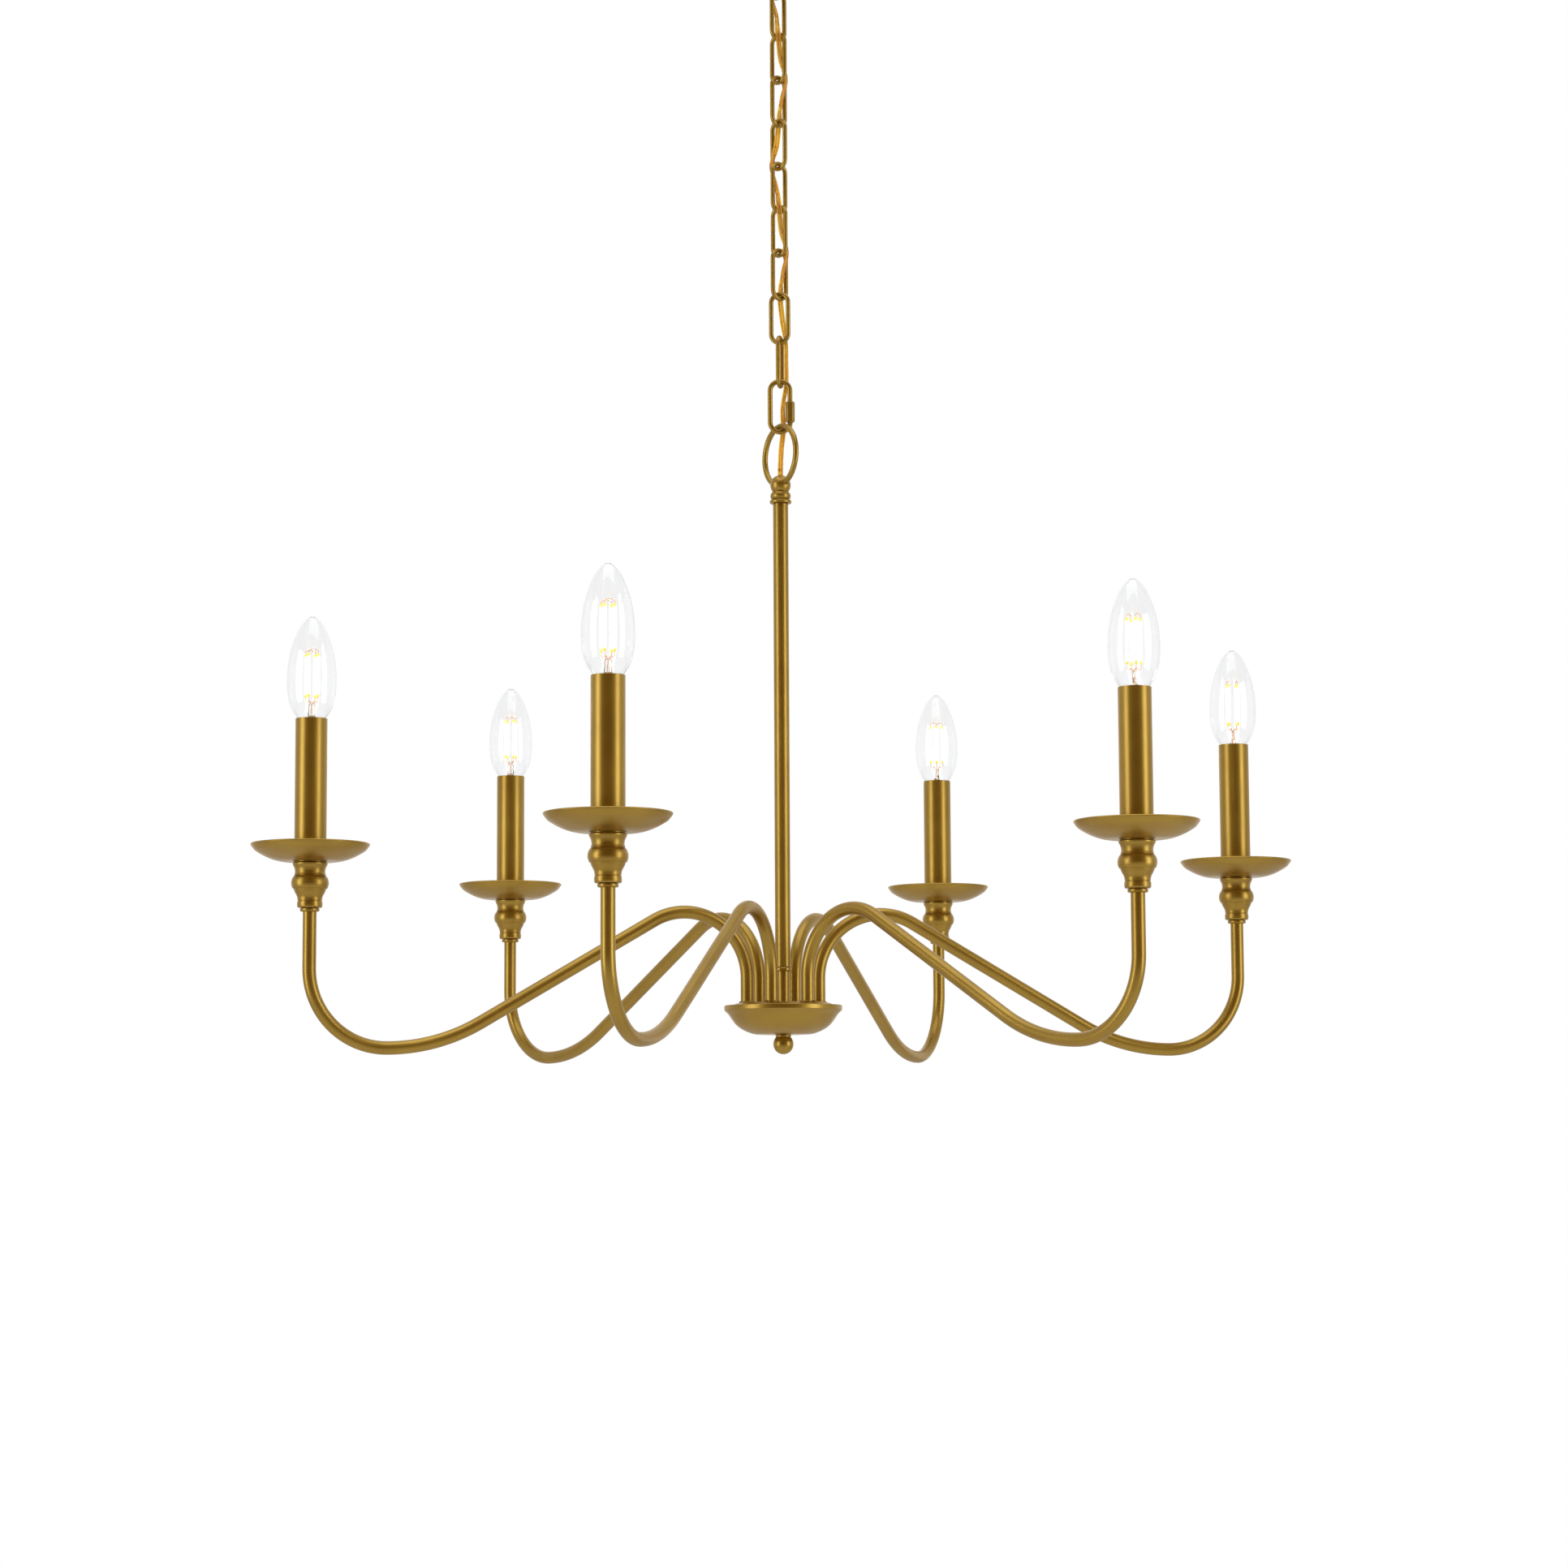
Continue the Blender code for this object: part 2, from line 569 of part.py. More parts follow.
def make_cord():
    """The supply cord: down the fitting's bore, woven down the chain, and into the stem to the hub."""
    pivots = CHAIN_PIVOTS + [QUICK_LOW]
    contacts = [z + 2 * MM for z in pivots]
    lowers = contacts[1:] + [HUB_Z + BALL_HEIGHT + 12 * MM]
    route = [(0, 0, -1.5 * MM), (0, 0, -20 * MM), (0, 0, FITTING_COLLAR_Z[1] - 1.5 * MM)]
    for (beside, middle), contact, below in zip(CORD_ROUTE_MM, contacts, lowers):
        route.append((beside[0] * MM, beside[1] * MM, contact))
        route.append((middle[0] * MM, middle[1] * MM, (contact + below) / 2))
    ball_top = HUB_Z + BALL_HEIGHT + BALL_RADIUS
    route += [(0, 0, ball_top + 4 * MM), (0, 0, ball_top - 4 * MM)]
    stem_points = 4
    for k in range(1, stem_points + 1):
        route.append((0, 0, ball_top - 4 * MM - (ball_top - HUB_Z - 14 * MM) * k / stem_points))
    points = smooth_route([Vector(point) for point in route], CORD_STEPS)
    place(wire("supply_cord", points, CORD_RADIUS), "amber_cord")


make_ceiling_fitting()
make_chain()
make_quick_link()
make_hanging_loop()
make_stem()
make_hub()
make_arms()
make_cord()
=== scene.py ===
"""The looks of the multi arm chandelier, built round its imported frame.

Meshes are in metres in the frame's own axes: the ceiling is at z = 0, +Z is up and the front is -Y.
Outlines of turned pieces are in millimetres as (radius, height), with a third value where a corner is
rounded. Heights of the chandelier's own pieces start at the plane of the hub's rim.
"""

import json
import math

import bmesh
import bpy
from mathutils import Matrix, Vector


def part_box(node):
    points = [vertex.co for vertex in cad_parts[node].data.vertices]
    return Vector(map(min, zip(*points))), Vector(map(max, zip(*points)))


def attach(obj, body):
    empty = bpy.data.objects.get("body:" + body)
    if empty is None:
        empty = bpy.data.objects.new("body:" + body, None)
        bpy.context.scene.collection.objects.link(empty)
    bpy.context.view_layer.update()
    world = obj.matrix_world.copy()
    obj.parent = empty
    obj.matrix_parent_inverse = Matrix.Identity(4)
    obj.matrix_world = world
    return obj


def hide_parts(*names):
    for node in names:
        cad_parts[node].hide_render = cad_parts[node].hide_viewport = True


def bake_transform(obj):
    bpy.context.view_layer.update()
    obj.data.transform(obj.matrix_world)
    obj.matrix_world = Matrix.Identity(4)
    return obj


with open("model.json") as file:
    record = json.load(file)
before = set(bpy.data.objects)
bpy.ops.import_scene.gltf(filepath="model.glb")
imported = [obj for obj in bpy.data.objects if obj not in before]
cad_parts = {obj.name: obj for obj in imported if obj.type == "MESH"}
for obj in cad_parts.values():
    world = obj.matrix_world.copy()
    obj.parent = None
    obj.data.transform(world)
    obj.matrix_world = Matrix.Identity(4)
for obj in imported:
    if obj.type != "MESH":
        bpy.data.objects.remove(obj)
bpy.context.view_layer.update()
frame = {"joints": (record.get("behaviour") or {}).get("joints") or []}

MM = 0.001
AXIS_X = Vector((1, 0, 0))
AXIS_Y = Vector((0, 1, 0))
AXIS_Z = Vector((0, 0, 1))

# Places read from the frame.
BOWL_DEPTH = 19.8
HUB_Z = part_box("hub_bowl")[0].z + BOWL_DEPTH * MM
HUB = Matrix.Translation((0, 0, HUB_Z))
JOINTS = {joint["name"]: joint for joint in frame["joints"]}
LINK_COUNT = 9
ARM_COUNT = 6
LINK_PIVOTS = [JOINTS[f"link_{i + 1}_swing"]["pos_m"][2] for i in range(LINK_COUNT)]
QUICK_PIVOT = JOINTS["quick_link_swing"]["pos_m"][2]
LOOP_PIVOT = JOINTS["hanging_loop_swing"]["pos_m"][2]
SWIVELS = [Vector(JOINTS[f"arm_{k + 1}_swivel"]["pos_m"]) for k in range(ARM_COUNT)]
CANDLES = [sum(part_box(f"candle_sleeve_{k + 1}"), Vector()) / 2 for k in range(ARM_COUNT)]
LINK_BODIES = [f"link_{i + 1}" for i in range(LINK_COUNT)]
CHAIN_BODIES = ["ceiling_mount"] + LINK_BODIES + ["quick_link", "chandelier"]

# Ceiling fitting, in millimetres.
STRAP_HALF_LENGTH = 50.0
STRAP_HALF_WIDTH = 10.0
STRAP_THICKNESS = 2.6
STRAP_CORNER = 4.0
STRAP_BORE_RADIUS = 5.15
SCREW_OUT = 40
SCREW_HOLE_RADIUS = 2.4
SPARE_HOLE_OUT = 24
SPARE_HOLE_RADIUS = 1.8
FITTING_RING_Z = -45
FITTING_RING_RADIUS = 9
FITTING_RING_WIRE_RADIUS = 2.0
FITTING_RING_TURN = math.radians(-45)

# Chain, in millimetres: lengths and widths are of the centreline.
LINK_TURNS = [math.radians(turn) for turn in (45, -45, 45, -45, 45, -45, 42, -15, 78)]
LINK_LENGTH = 35.9
LINK_WIDTH = 12.7
LINK_WIRE_RADIUS = 1.65
QUICK_LENGTH = 37.4
QUICK_WIDTH = 14.4
QUICK_WIRE_RADIUS = 1.8
QUICK_MOUTH = (9.7, 15.2)
QUICK_NUT = (7.2, 22.2)
QUICK_THREAD_LOW = 5.0
QUICK_THREAD_CORE = 1.5

# Hanging loop, stem and hub. Heights are from the rim's plane.
LOOP_RADIUS = 21.45
LOOP_WIRE_RADIUS = 2.05
LOOP_TURN = math.radians(-58.8)
LOOP_HEIGHT = 397.5
BALL_RADIUS = 7.4
BALL_HEIGHT = 375.7
BALL_FLAT = 370.6
PLATE_TOP = 2.6
ROOT_HOLE_RADIUS = 4.0
HUB_NUT_Z = (-1.2, 0.7)
FINIAL_RADIUS = 7.2
FINIAL_HEIGHT = -26.6

# Arms.
ARM_LENGTH = (CANDLES[0] - SWIVELS[0]).xy.length / MM
ARM_RADIUS = 4.65
OVER_BEND = 46
OVER_BEND_START = 20.2
RUN_SLOPE = math.radians(30)
OUTER_BEND = 53.5
ARM_LOWEST = -30.3

# Where the cord crosses the axis of the chain, in millimetres: beside each place where two links meet, and
# the middle of the link below.
CORD_ROUTE_MM = [
    ((-5.1, 0.0), (-1.6, -1.6)),
    ((0.0, -5.1), (1.6, -1.6)),
    ((5.1, 0.0), (1.6, 1.6)),
    ((0.0, 5.1), (-1.6, 1.6)),
    ((-5.1, 0.0), (-1.6, -1.6)),
    ((0.0, -5.1), (1.6, -1.6)),
    ((5.1, -0.1), (2.0, 1.0)),
    ((0.6, 5.2), (2.0, 3.4)),
    ((4.2, 2.7), (4.6, 2.2)),
    ((4.5, 3.8), (2.0, 3.6)),
    ((2.2, 4.1), (0.7, 1.4)),
]


# ---------------------------------------------------------------- finishes


def add_node(tree, kind, inputs=None, **properties):
    """A shader node with its properties, and its inputs by name or number."""
    node = tree.nodes.new("ShaderNode" + kind)
    for name, value in properties.items():
        setattr(node, name, value)
    for name, value in (inputs or {}).items():
        node.inputs[name].default_value = value
    return node


def start_material(name, inputs):
    """A material with its node tree and its shader, the shader's inputs set by name."""
    material = bpy.data.materials.new(name)
    material.use_nodes = True
    shader = material.node_tree.nodes["Principled BSDF"]
    for socket, value in inputs.items():
        shader.inputs[socket].default_value = value
    return material, material.node_tree, shader


def noise_of(tree, scale, detail=2.0, roughness=0.5, source="Object"):
    """The value of a noise that travels with the piece."""
    place = add_node(tree, "TexCoord")
    texture = add_node(tree, "TexNoise", {"Scale": scale, "Detail": detail, "Roughness": roughness})
    tree.links.new(place.outputs[source], texture.inputs["Vector"])
    return texture.outputs["Fac"]


def ramp_of(tree, value, stops):
    """A colour for each value, from stops of (value, colour)."""
    ramp = add_node(tree, "ValToRGB")
    elements = ramp.color_ramp.elements
    while len(elements) < len(stops):
        elements.new(0.5)
    for element, (position, colour) in zip(elements, stops):
        element.position = position
        element.color = (*colour, 1)
    tree.links.new(value, ramp.inputs["Fac"])
    return ramp.outputs["Color"]


def spread(tree, value, low, high, source=(0.3, 0.7)):
    """A value carried from its source range to low and high."""
    inputs = {"From Min": source[0], "From Max": source[1], "To Min": low, "To Max": high}
    node = add_node(tree, "MapRange", inputs)
    tree.links.new(value, node.inputs["Value"])
    return node.outputs["Result"]


def add_bump(tree, shader, layers):
    """Bumps on the shader, from layers of (height socket, strength, depth in metres)."""
    normal = None
    for height, strength, depth in layers:
        node = add_node(tree, "Bump", {"Strength": strength, "Distance": depth})
        tree.links.new(height, node.inputs["Height"])
        if normal:
            tree.links.new(normal, node.inputs["Normal"])
        normal = node.outputs["Normal"]
    tree.links.new(normal, shader.inputs["Normal"])


def make_antique_gold():
    """Satin gold paint: cloudy tone, patches that shine a little more or less, and a faint waviness."""
    inputs = {
        "Metallic": 0.95,
        "Specular Tint": (0.95, 0.85, 0.70, 1),
        "Coat Weight": 0.6,
        "Coat Roughness": 0.3,
    }
    material, tree, shader = start_material("antique_gold", inputs)
    tones = ((0.3, (0.365, 0.216, 0.022)), (0.5, (0.40, 0.241, 0.027)), (0.7, (0.435, 0.268, 0.034)))
    tree.links.new(ramp_of(tree, noise_of(tree, 24, 4, 0.6), tones), shader.inputs["Base Color"])
    tree.links.new(spread(tree, noise_of(tree, 60, 2), 0.34, 0.39), shader.inputs["Roughness"])
    add_bump(tree, shader, ((noise_of(tree, 45, 1), 0.03, 0.00004),))
    return material


def make_zinc_steel():
    """Zinc plate with a bluish, slightly blotched surface."""
    material, tree, shader = start_material("zinc_steel", {"Metallic": 1.0})
    tones = ((0.3, (0.42, 0.44, 0.48)), (0.7, (0.62, 0.63, 0.64)))
    tree.links.new(ramp_of(tree, noise_of(tree, 90, 4, 0.65), tones), shader.inputs["Base Color"])
    tree.links.new(spread(tree, noise_of(tree, 260, 3), 0.26, 0.46), shader.inputs["Roughness"])
    add_bump(tree, shader, ((noise_of(tree, 900, 3), 0.2, 0.00004),))
    return material


def make_lamp_holder():
    """Cream moulded plastic, slightly mottled."""
    material, tree, shader = start_material("lamp_holder", {"Metallic": 0.0})
    tones = ((0.3, (0.70, 0.66, 0.56)), (0.7, (0.80, 0.77, 0.68)))
    tree.links.new(ramp_of(tree, noise_of(tree, 60, 4), tones), shader.inputs["Base Color"])
    tree.links.new(spread(tree, noise_of(tree, 200, 2), 0.38, 0.5), shader.inputs["Roughness"])
    add_bump(tree, shader, ((noise_of(tree, 700, 2), 0.15, 0.00005),))
    return material


def make_clear_glass():
    """Thin blown glass, with its slow waviness. Rays to lamps pass straight through."""
    material, tree, shader = start_material(
        "clear_glass",
        {"Base Color": (0.965, 0.968, 0.972, 1), "Transmission Weight": 1.0, "IOR": 1.45},
    )
    tree.links.new(spread(tree, noise_of(tree, 45, 2), 0.0, 0.004), shader.inputs["Roughness"])
    add_bump(tree, shader, ((noise_of(tree, 30, 0), 0.01, 0.00005),))
    path = add_node(tree, "LightPath")
    through = add_node(tree, "BsdfTransparent", {"Color": (0.96, 0.97, 0.98, 1)})
    mix = add_node(tree, "MixShader")
    tree.links.new(path.outputs["Is Shadow Ray"], mix.inputs["Fac"])
    tree.links.new(shader.outputs["BSDF"], mix.inputs[1])
    tree.links.new(through.outputs["BSDF"], mix.inputs[2])
    tree.links.new(mix.outputs["Shader"], tree.nodes["Material Output"].inputs["Surface"])
    return material


def make_led_filament():
    """Yellow phosphor that glows: white-hot along its middle, yellow at its ends."""
    material, tree, shader = start_material("led_filament", {"Roughness": 0.6})
    place = add_node(tree, "TexCoord")
    split = add_node(tree, "SeparateXYZ")
    tree.links.new(place.outputs["Generated"], split.inputs["Vector"])
    along = split.outputs["Z"]
    coat = ((0.3, (0.92, 0.62, 0.06)), (0.7, (1.0, 0.74, 0.12)))
    tree.links.new(ramp_of(tree, noise_of(tree, 1800, 3), coat), shader.inputs["Base Color"])
    end, hot = (1.0, 0.50, 0.05), (1.0, 0.93, 0.78)
    glow = ((0.0, end), (0.05, end), (0.12, hot), (0.88, hot), (0.95, end), (1.0, end))
    tree.links.new(ramp_of(tree, along, glow), shader.inputs["Emission Color"])
    dark, lit = (0.06, 0.06, 0.06), (1.0, 1.0, 1.0)
    level = ((0.0, dark), (0.05, dark), (0.12, lit), (0.88, lit), (0.95, dark), (1.0, dark))
    power = spread(tree, ramp_of(tree, along, level), 0.0, 6.0, (0.0, 1.0))
    tree.links.new(power, shader.inputs["Emission Strength"])
    add_bump(tree, shader, ((noise_of(tree, 1500, 2), 0.4, 0.00008),))
    return material


def make_lamp_base():
    """Nickel plated brass of the lamp's screw shell, yellower where it is thin."""
    material, tree, shader = start_material("lamp_base", {"Metallic": 1.0})
    tones = ((0.3, (0.55, 0.50, 0.40)), (0.7, (0.70, 0.68, 0.62)))
    tree.links.new(ramp_of(tree, noise_of(tree, 120, 4), tones), shader.inputs["Base Color"])
    tree.links.new(spread(tree, noise_of(tree, 300, 2), 0.2, 0.36), shader.inputs["Roughness"])
    add_bump(tree, shader, ((noise_of(tree, 1200, 2), 0.2, 0.00003),))
    return material


def make_amber_cord():
    """Clear amber vinyl over the conductors."""
    material, tree, shader = start_material(
        "amber_cord", {"Transmission Weight": 0.7, "IOR": 1.3, "Specular IOR Level": 0.5}
    )
    tones = ((0.3, (0.98, 0.62, 0.07)), (0.55, (1.0, 0.69, 0.10)), (0.75, (1.0, 0.77, 0.17)))
    tree.links.new(ramp_of(tree, noise_of(tree, 110, 3), tones), shader.inputs["Base Color"])
    tree.links.new(spread(tree, noise_of(tree, 260, 2), 0.14, 0.26), shader.inputs["Roughness"])
    add_bump(tree, shader, ((noise_of(tree, 120, 1), 0.1, 0.0001),))
    return material


def make_bare_wire():
    """Tinned copper, dulled unevenly."""
    material, tree, shader = start_material("bare_wire", {"Metallic": 1.0})
    tones = ((0.3, (0.60, 0.26, 0.10)), (0.7, (0.80, 0.44, 0.22)))
    tree.links.new(ramp_of(tree, noise_of(tree, 240, 3), tones), shader.inputs["Base Color"])
    tree.links.new(spread(tree, noise_of(tree, 500, 2), 0.22, 0.4), shader.inputs["Roughness"])
    add_bump(tree, shader, ((noise_of(tree, 400, 1), 0.1, 0.00002),))
    return material


def make_floor_finish():
    """Pale studio floor with a barely uneven tone."""
    material, tree, shader = start_material("studio_floor", {"Specular IOR Level": 0.2})
    tones = ((0.3, (0.90, 0.90, 0.90)), (0.7, (0.94, 0.94, 0.94)))
    tree.links.new(ramp_of(tree, noise_of(tree, 2, 3), tones), shader.inputs["Base Color"])
    tree.links.new(spread(tree, noise_of(tree, 6, 2), 0.6, 0.75), shader.inputs["Roughness"])
    add_bump(tree, shader, ((noise_of(tree, 40, 3), 0.05, 0.001),))
    return material


MATERIALS = {
    "antique_gold": make_antique_gold(),
    "zinc_steel": make_zinc_steel(),
    "lamp_holder": make_lamp_holder(),
    "clear_glass": make_clear_glass(),
    "led_filament": make_led_filament(),
    "lamp_base": make_lamp_base(),
    "amber_cord": make_amber_cord(),
    "bare_wire": make_bare_wire(),
}


# ---------------------------------------------------------------- shapes


def smooth(points, steps=6):
    """Points along a Catmull-Rom curve through the given ones, of any number of coordinates."""
    given = [Vector(point) for point in points]
    padded = [given[0] * 2 - given[1]] + given + [given[-1] * 2 - given[-2]]
    made = []
    for i in range(1, len(padded) - 2):
        before, start, end, after = padded[i - 1:i + 3]
        for k in range(steps):
            t = k / steps
            turn = 2 * before - 5 * start + 4 * end - after
            made.append(
                (2 * start + (end - before) * t + turn * t * t
                 + (3 * start - before - 3 * end + after) * t ** 3) / 2
            )
    return [tuple(point) for point in made] + [tuple(given[-1])]


def rounded(outline, steps=4):
    """The outline with each corner that has a third value rounded to that radius."""
    made = []
    for i, corner in enumerate(outline):
        here = Vector(corner[:2])
        if len(corner) == 2:
            made.append(here)
            continue
        before = (Vector(outline[i - 1][:2]) - here).normalized()
        after = (Vector(outline[(i + 1) % len(outline)][:2]) - here).normalized()
        half = before.angle(after) / 2
        centre = here + (before + after).normalized() * corner[2] / math.sin(half)
        reach = corner[2] / math.tan(half)
        first, last = here + before * reach - centre, here + after * reach - centre
        opening = first.angle(last)
        for k in range(steps + 1):
            t = k / steps
            weights = math.sin((1 - t) * opening), math.sin(t * opening)
            made.append(centre + (first * weights[0] + last * weights[1]) / math.sin(opening))
    return made


def loft(name, rings, cyclic=False, capped=False):
    """A mesh whose skin runs through the rings of points in turn. A ring of one point is a pole."""
    bm = bmesh.new()
    made = [[bm.verts.new(point) for point in ring] for ring in rings]
    pairs = list(zip(made, made[1:]))
    if cyclic:
        pairs.append((made[-1], made[0]))
    for first, second in pairs:
        count = max(len(first), len(second))
        for i in range(count):
            j = i + 1
            corners = (
                first[i % len(first)],
                second[i % len(second)],
                second[j % len(second)],
                first[j % len(first)],
            )
            bm.faces.new(list(dict.fromkeys(corners)))
    if capped:
        bm.faces.new(made[0][::-1])
        bm.faces.new(made[-1])
    bmesh.ops.recalc_face_normals(bm, faces=bm.faces)
    mesh = bpy.data.meshes.new(name)
    bm.to_mesh(mesh)
    bm.free()
    return mesh


def turned(name, outline, steps=72, closed=True):
    """A turned piece from its outline in millimetres. An open outline starts and ends on the axis."""
    rings = []
    for radius, height in rounded(outline):
        if radius < 0.001:
            rings.append([Vector((0, 0, height * MM))])
            continue
        angles = [math.tau * i / steps for i in range(steps)]
        rings.append([Vector((radius * math.cos(a), radius * math.sin(a), height)) * MM for a in angles])
    return loft(name, rings, cyclic=closed)


def shaped(name, heights, radius_at, steps=96, bore=0.0):
    """A piece of stacked rings whose radius, in millimetres, depends on angle and height."""
    angles = [math.tau * i / steps for i in range(steps)]
    rings = []
    for height in heights:
        ring = []
        for angle in angles:
            radius = radius_at(angle, height)
            ring.append(Vector((radius * math.cos(angle), radius * math.sin(angle), height)) * MM)
        rings.append(ring)
    if not bore:
        return loft(name, rings, capped=True)
    for height in (heights[-1], heights[0]):
        rings.append([Vector((bore * math.cos(a), bore * math.sin(a), height)) * MM for a in angles])
    return loft(name, rings, cyclic=True)


def threaded(name, radius, depth, pitch, low, high, bore=0.0, steps=32):
    """A threaded rod from low to high, radius being that of the crests."""
    count = max(8, round((high - low) / pitch * 8))
    heights = [low + (high - low) * i / count for i in range(count + 1)]

    def radius_at(angle, height):
        turn = (height / pitch - angle / math.tau) % 1
        ridge = 1 - abs(2 * turn - 1)
        run_out = min(1.0, (height - low) / pitch, (high - height) / pitch)
        return radius - depth + depth * ridge * run_out

    return shaped(name, heights, radius_at, steps, bore)


def hexagonal(name, radius, low, high, bore, chamfer):
    """A hexagon nut, its corners chamfered at both ends."""
    flat = radius * math.cos(math.pi / 6)
    heights = [low, low + chamfer / 2, low + chamfer, high - chamfer, high - chamfer / 2, high]

    def radius_at(angle, height):
        side = flat / math.cos((angle % (math.pi / 3)) - math.pi / 6)
        from_end = min(height - low, high - height)
        cone = flat - 0.1 + (radius - flat + 0.1) * min(1.0, from_end / chamfer)
        return min(side, cone)

    return shaped(name, heights, radius_at, 72, bore)


def tangents_of(points, cyclic):
    count = len(points)
    made = []
    for i in range(count):
        before = points[(i - 1) % count] if cyclic or i else points[0]
        after = points[(i + 1) % count] if cyclic or i < count - 1 else points[-1]
        made.append((after - before).normalized())
    return made


def carried(tangents):
    """Directions square to the tangents, turning as little as they can."""
    start = AXIS_Y if abs(tangents[0].y) < 0.9 else AXIS_X
    made = []
    for tangent in tangents:
        start = (start - tangent * start.dot(tangent)).normalized()
        made.append(start)
    return made


def along(name, points, sections, facings=None, cyclic=False):
    """A skin along points in metres: each has a section of (across, over) offsets and may have a facing."""
    tangents = tangents_of(points, cyclic)
    facings = facings or carried(tangents)
    rings = []
    for point, tangent, facing, section in zip(points, tangents, facings, sections):
        across = (facing - tangent * facing.dot(tangent)).normalized()
        over = tangent.cross(across)
        rings.append([point + across * u + over * v for u, v in section])
    return loft(name, rings, cyclic=cyclic, capped=not cyclic)


def circle(radius, sides):
    """Offsets in metres of a round section, from a radius in millimetres."""
    angles = [math.tau * i / sides for i in range(sides)]
    return [(radius * MM * math.cos(a), radius * MM * math.sin(a)) for a in angles]


def wire(name, points, radius, sides=20, cyclic=False):
    """A round bar along points in millimetres. The radius may be a list with one for each point."""
    radii = radius if isinstance(radius, list) else [radius] * len(points)
    places = [Vector(point) * MM for point in points]
    return along(name, places, [circle(r, sides) for r in radii], cyclic=cyclic)


def arc(centre, radius, start, end, steps):
    """Points (x, z) of a round stretch, angles in degrees from +X."""
    angles = [math.radians(start + (end - start) * i / steps) for i in range(steps + 1)]
    return [(centre[0] + radius * math.cos(a), centre[1] + radius * math.sin(a)) for a in angles]


def upright(points):
    """Points (x, z) as points in space."""
    return [(x, 0, z) for x, z in points]


def joined(name, meshes):
    """Meshes that don't touch, as one."""
    bm = bmesh.new()
    for mesh in meshes:
        bm.from_mesh(mesh)
        bpy.data.meshes.remove(mesh)
    made = bpy.data.meshes.new(name)
    bm.to_mesh(made)
    bm.free()
    return made


def carve(mesh, tool, operation):
    """The mesh with the tool added or cut away."""
    objects = [bpy.data.objects.new("carve", m) for m in (mesh, tool)]
    for obj in objects:
        bpy.context.scene.collection.objects.link(obj)
    modifier = objects[0].modifiers.new("carve", "BOOLEAN")
    modifier.operation = operation
    modifier.object = objects[1]
    modifier.solver = "EXACT"
    graph = bpy.context.evaluated_depsgraph_get()
    made = bpy.data.meshes.new_from_object(objects[0].evaluated_get(graph), depsgraph=graph)
    made.name = mesh.name
    for obj in objects:
        bpy.data.objects.remove(obj)
    return made


def moved(mesh, matrix):
    """A copy of the mesh, carried to its place."""
    made = mesh.copy()
    made.transform(matrix)
    return made


def add_piece(name, mesh, finish, body, stands_for=(), sharp=32):
    """Puts a finished mesh on its body, in place of the CAD nodes named."""
    obj = bpy.data.objects.new(name, mesh)
    bpy.context.scene.collection.objects.link(obj)
    mesh.materials.clear()
    mesh.materials.append(MATERIALS[finish])
    mesh.shade_smooth()
    mesh.set_sharp_from_angle(angle=math.radians(sharp))
    if body:
        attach(obj, body)
    if stands_for:
        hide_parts(*stands_for)
    return obj


# ---------------------------------------------------------------- ceiling fitting


def make_strap():
    """The steel strap on the ceiling box, with its holes and two cross-head screws."""
    outline = []
    for x, y, start in ((1, 1, 0), (-1, 1, 90), (-1, -1, 180), (1, -1, 270)):
        centre = (x * (STRAP_HALF_LENGTH - STRAP_CORNER), y * (STRAP_HALF_WIDTH - STRAP_CORNER))
        outline += arc(centre, STRAP_CORNER, start, start + 90, 6)
    rings = [[Vector((x, y, height)) * MM for x, y in outline] for height in (-STRAP_THICKNESS, 0)]
    strap = loft("strap", rings, capped=True)
    cuts = [wire("bore", [(0, 0, -5), (0, 0, 3)], STRAP_BORE_RADIUS, 32)]
    for side in (-1, 1):
        for out, radius in ((SCREW_OUT, SCREW_HOLE_RADIUS), (SPARE_HOLE_OUT, SPARE_HOLE_RADIUS)):
            cuts.append(wire("hole", [(side * out, 0, -5), (side * out, 0, 3)], radius, 24))
    strap = carve(strap, joined("cuts", cuts), "DIFFERENCE")
    add_piece("strap_plate", strap, "zinc_steel", "ceiling_mount", ("mounting_strap",))

    head = [(0, -4.9), (2.2, -4.7), (3.5, -3.9), (4.0, -3.0, 0.2), (4.0, -2.7, 0.1), (2.0, -2.7)]
    head += [(2.0, 0), (0, 0)]
    slot = ((-2.1, -0.35), (2.1, -0.35), (2.1, 0.35), (-2.1, 0.35))
    blade_rings = [[Vector((x, y, z)) * MM for x, y in slot] for z in (-6, -3.7)]
    for side in (-1, 1):
        screw = turned("screw", head[::-1], 48, closed=False)
        for turn in (0, math.pi / 2):
            blade = loft("blade", blade_rings, capped=True)
            screw = carve(screw, moved(blade, Matrix.Rotation(turn, 4, "Z")), "DIFFERENCE")
        place = Matrix.Translation((side * SCREW_OUT * MM, 0, 0))
        add_piece(f"strap_screw_{(side + 3) // 2}", moved(screw, place), "zinc_steel", "ceiling_mount")


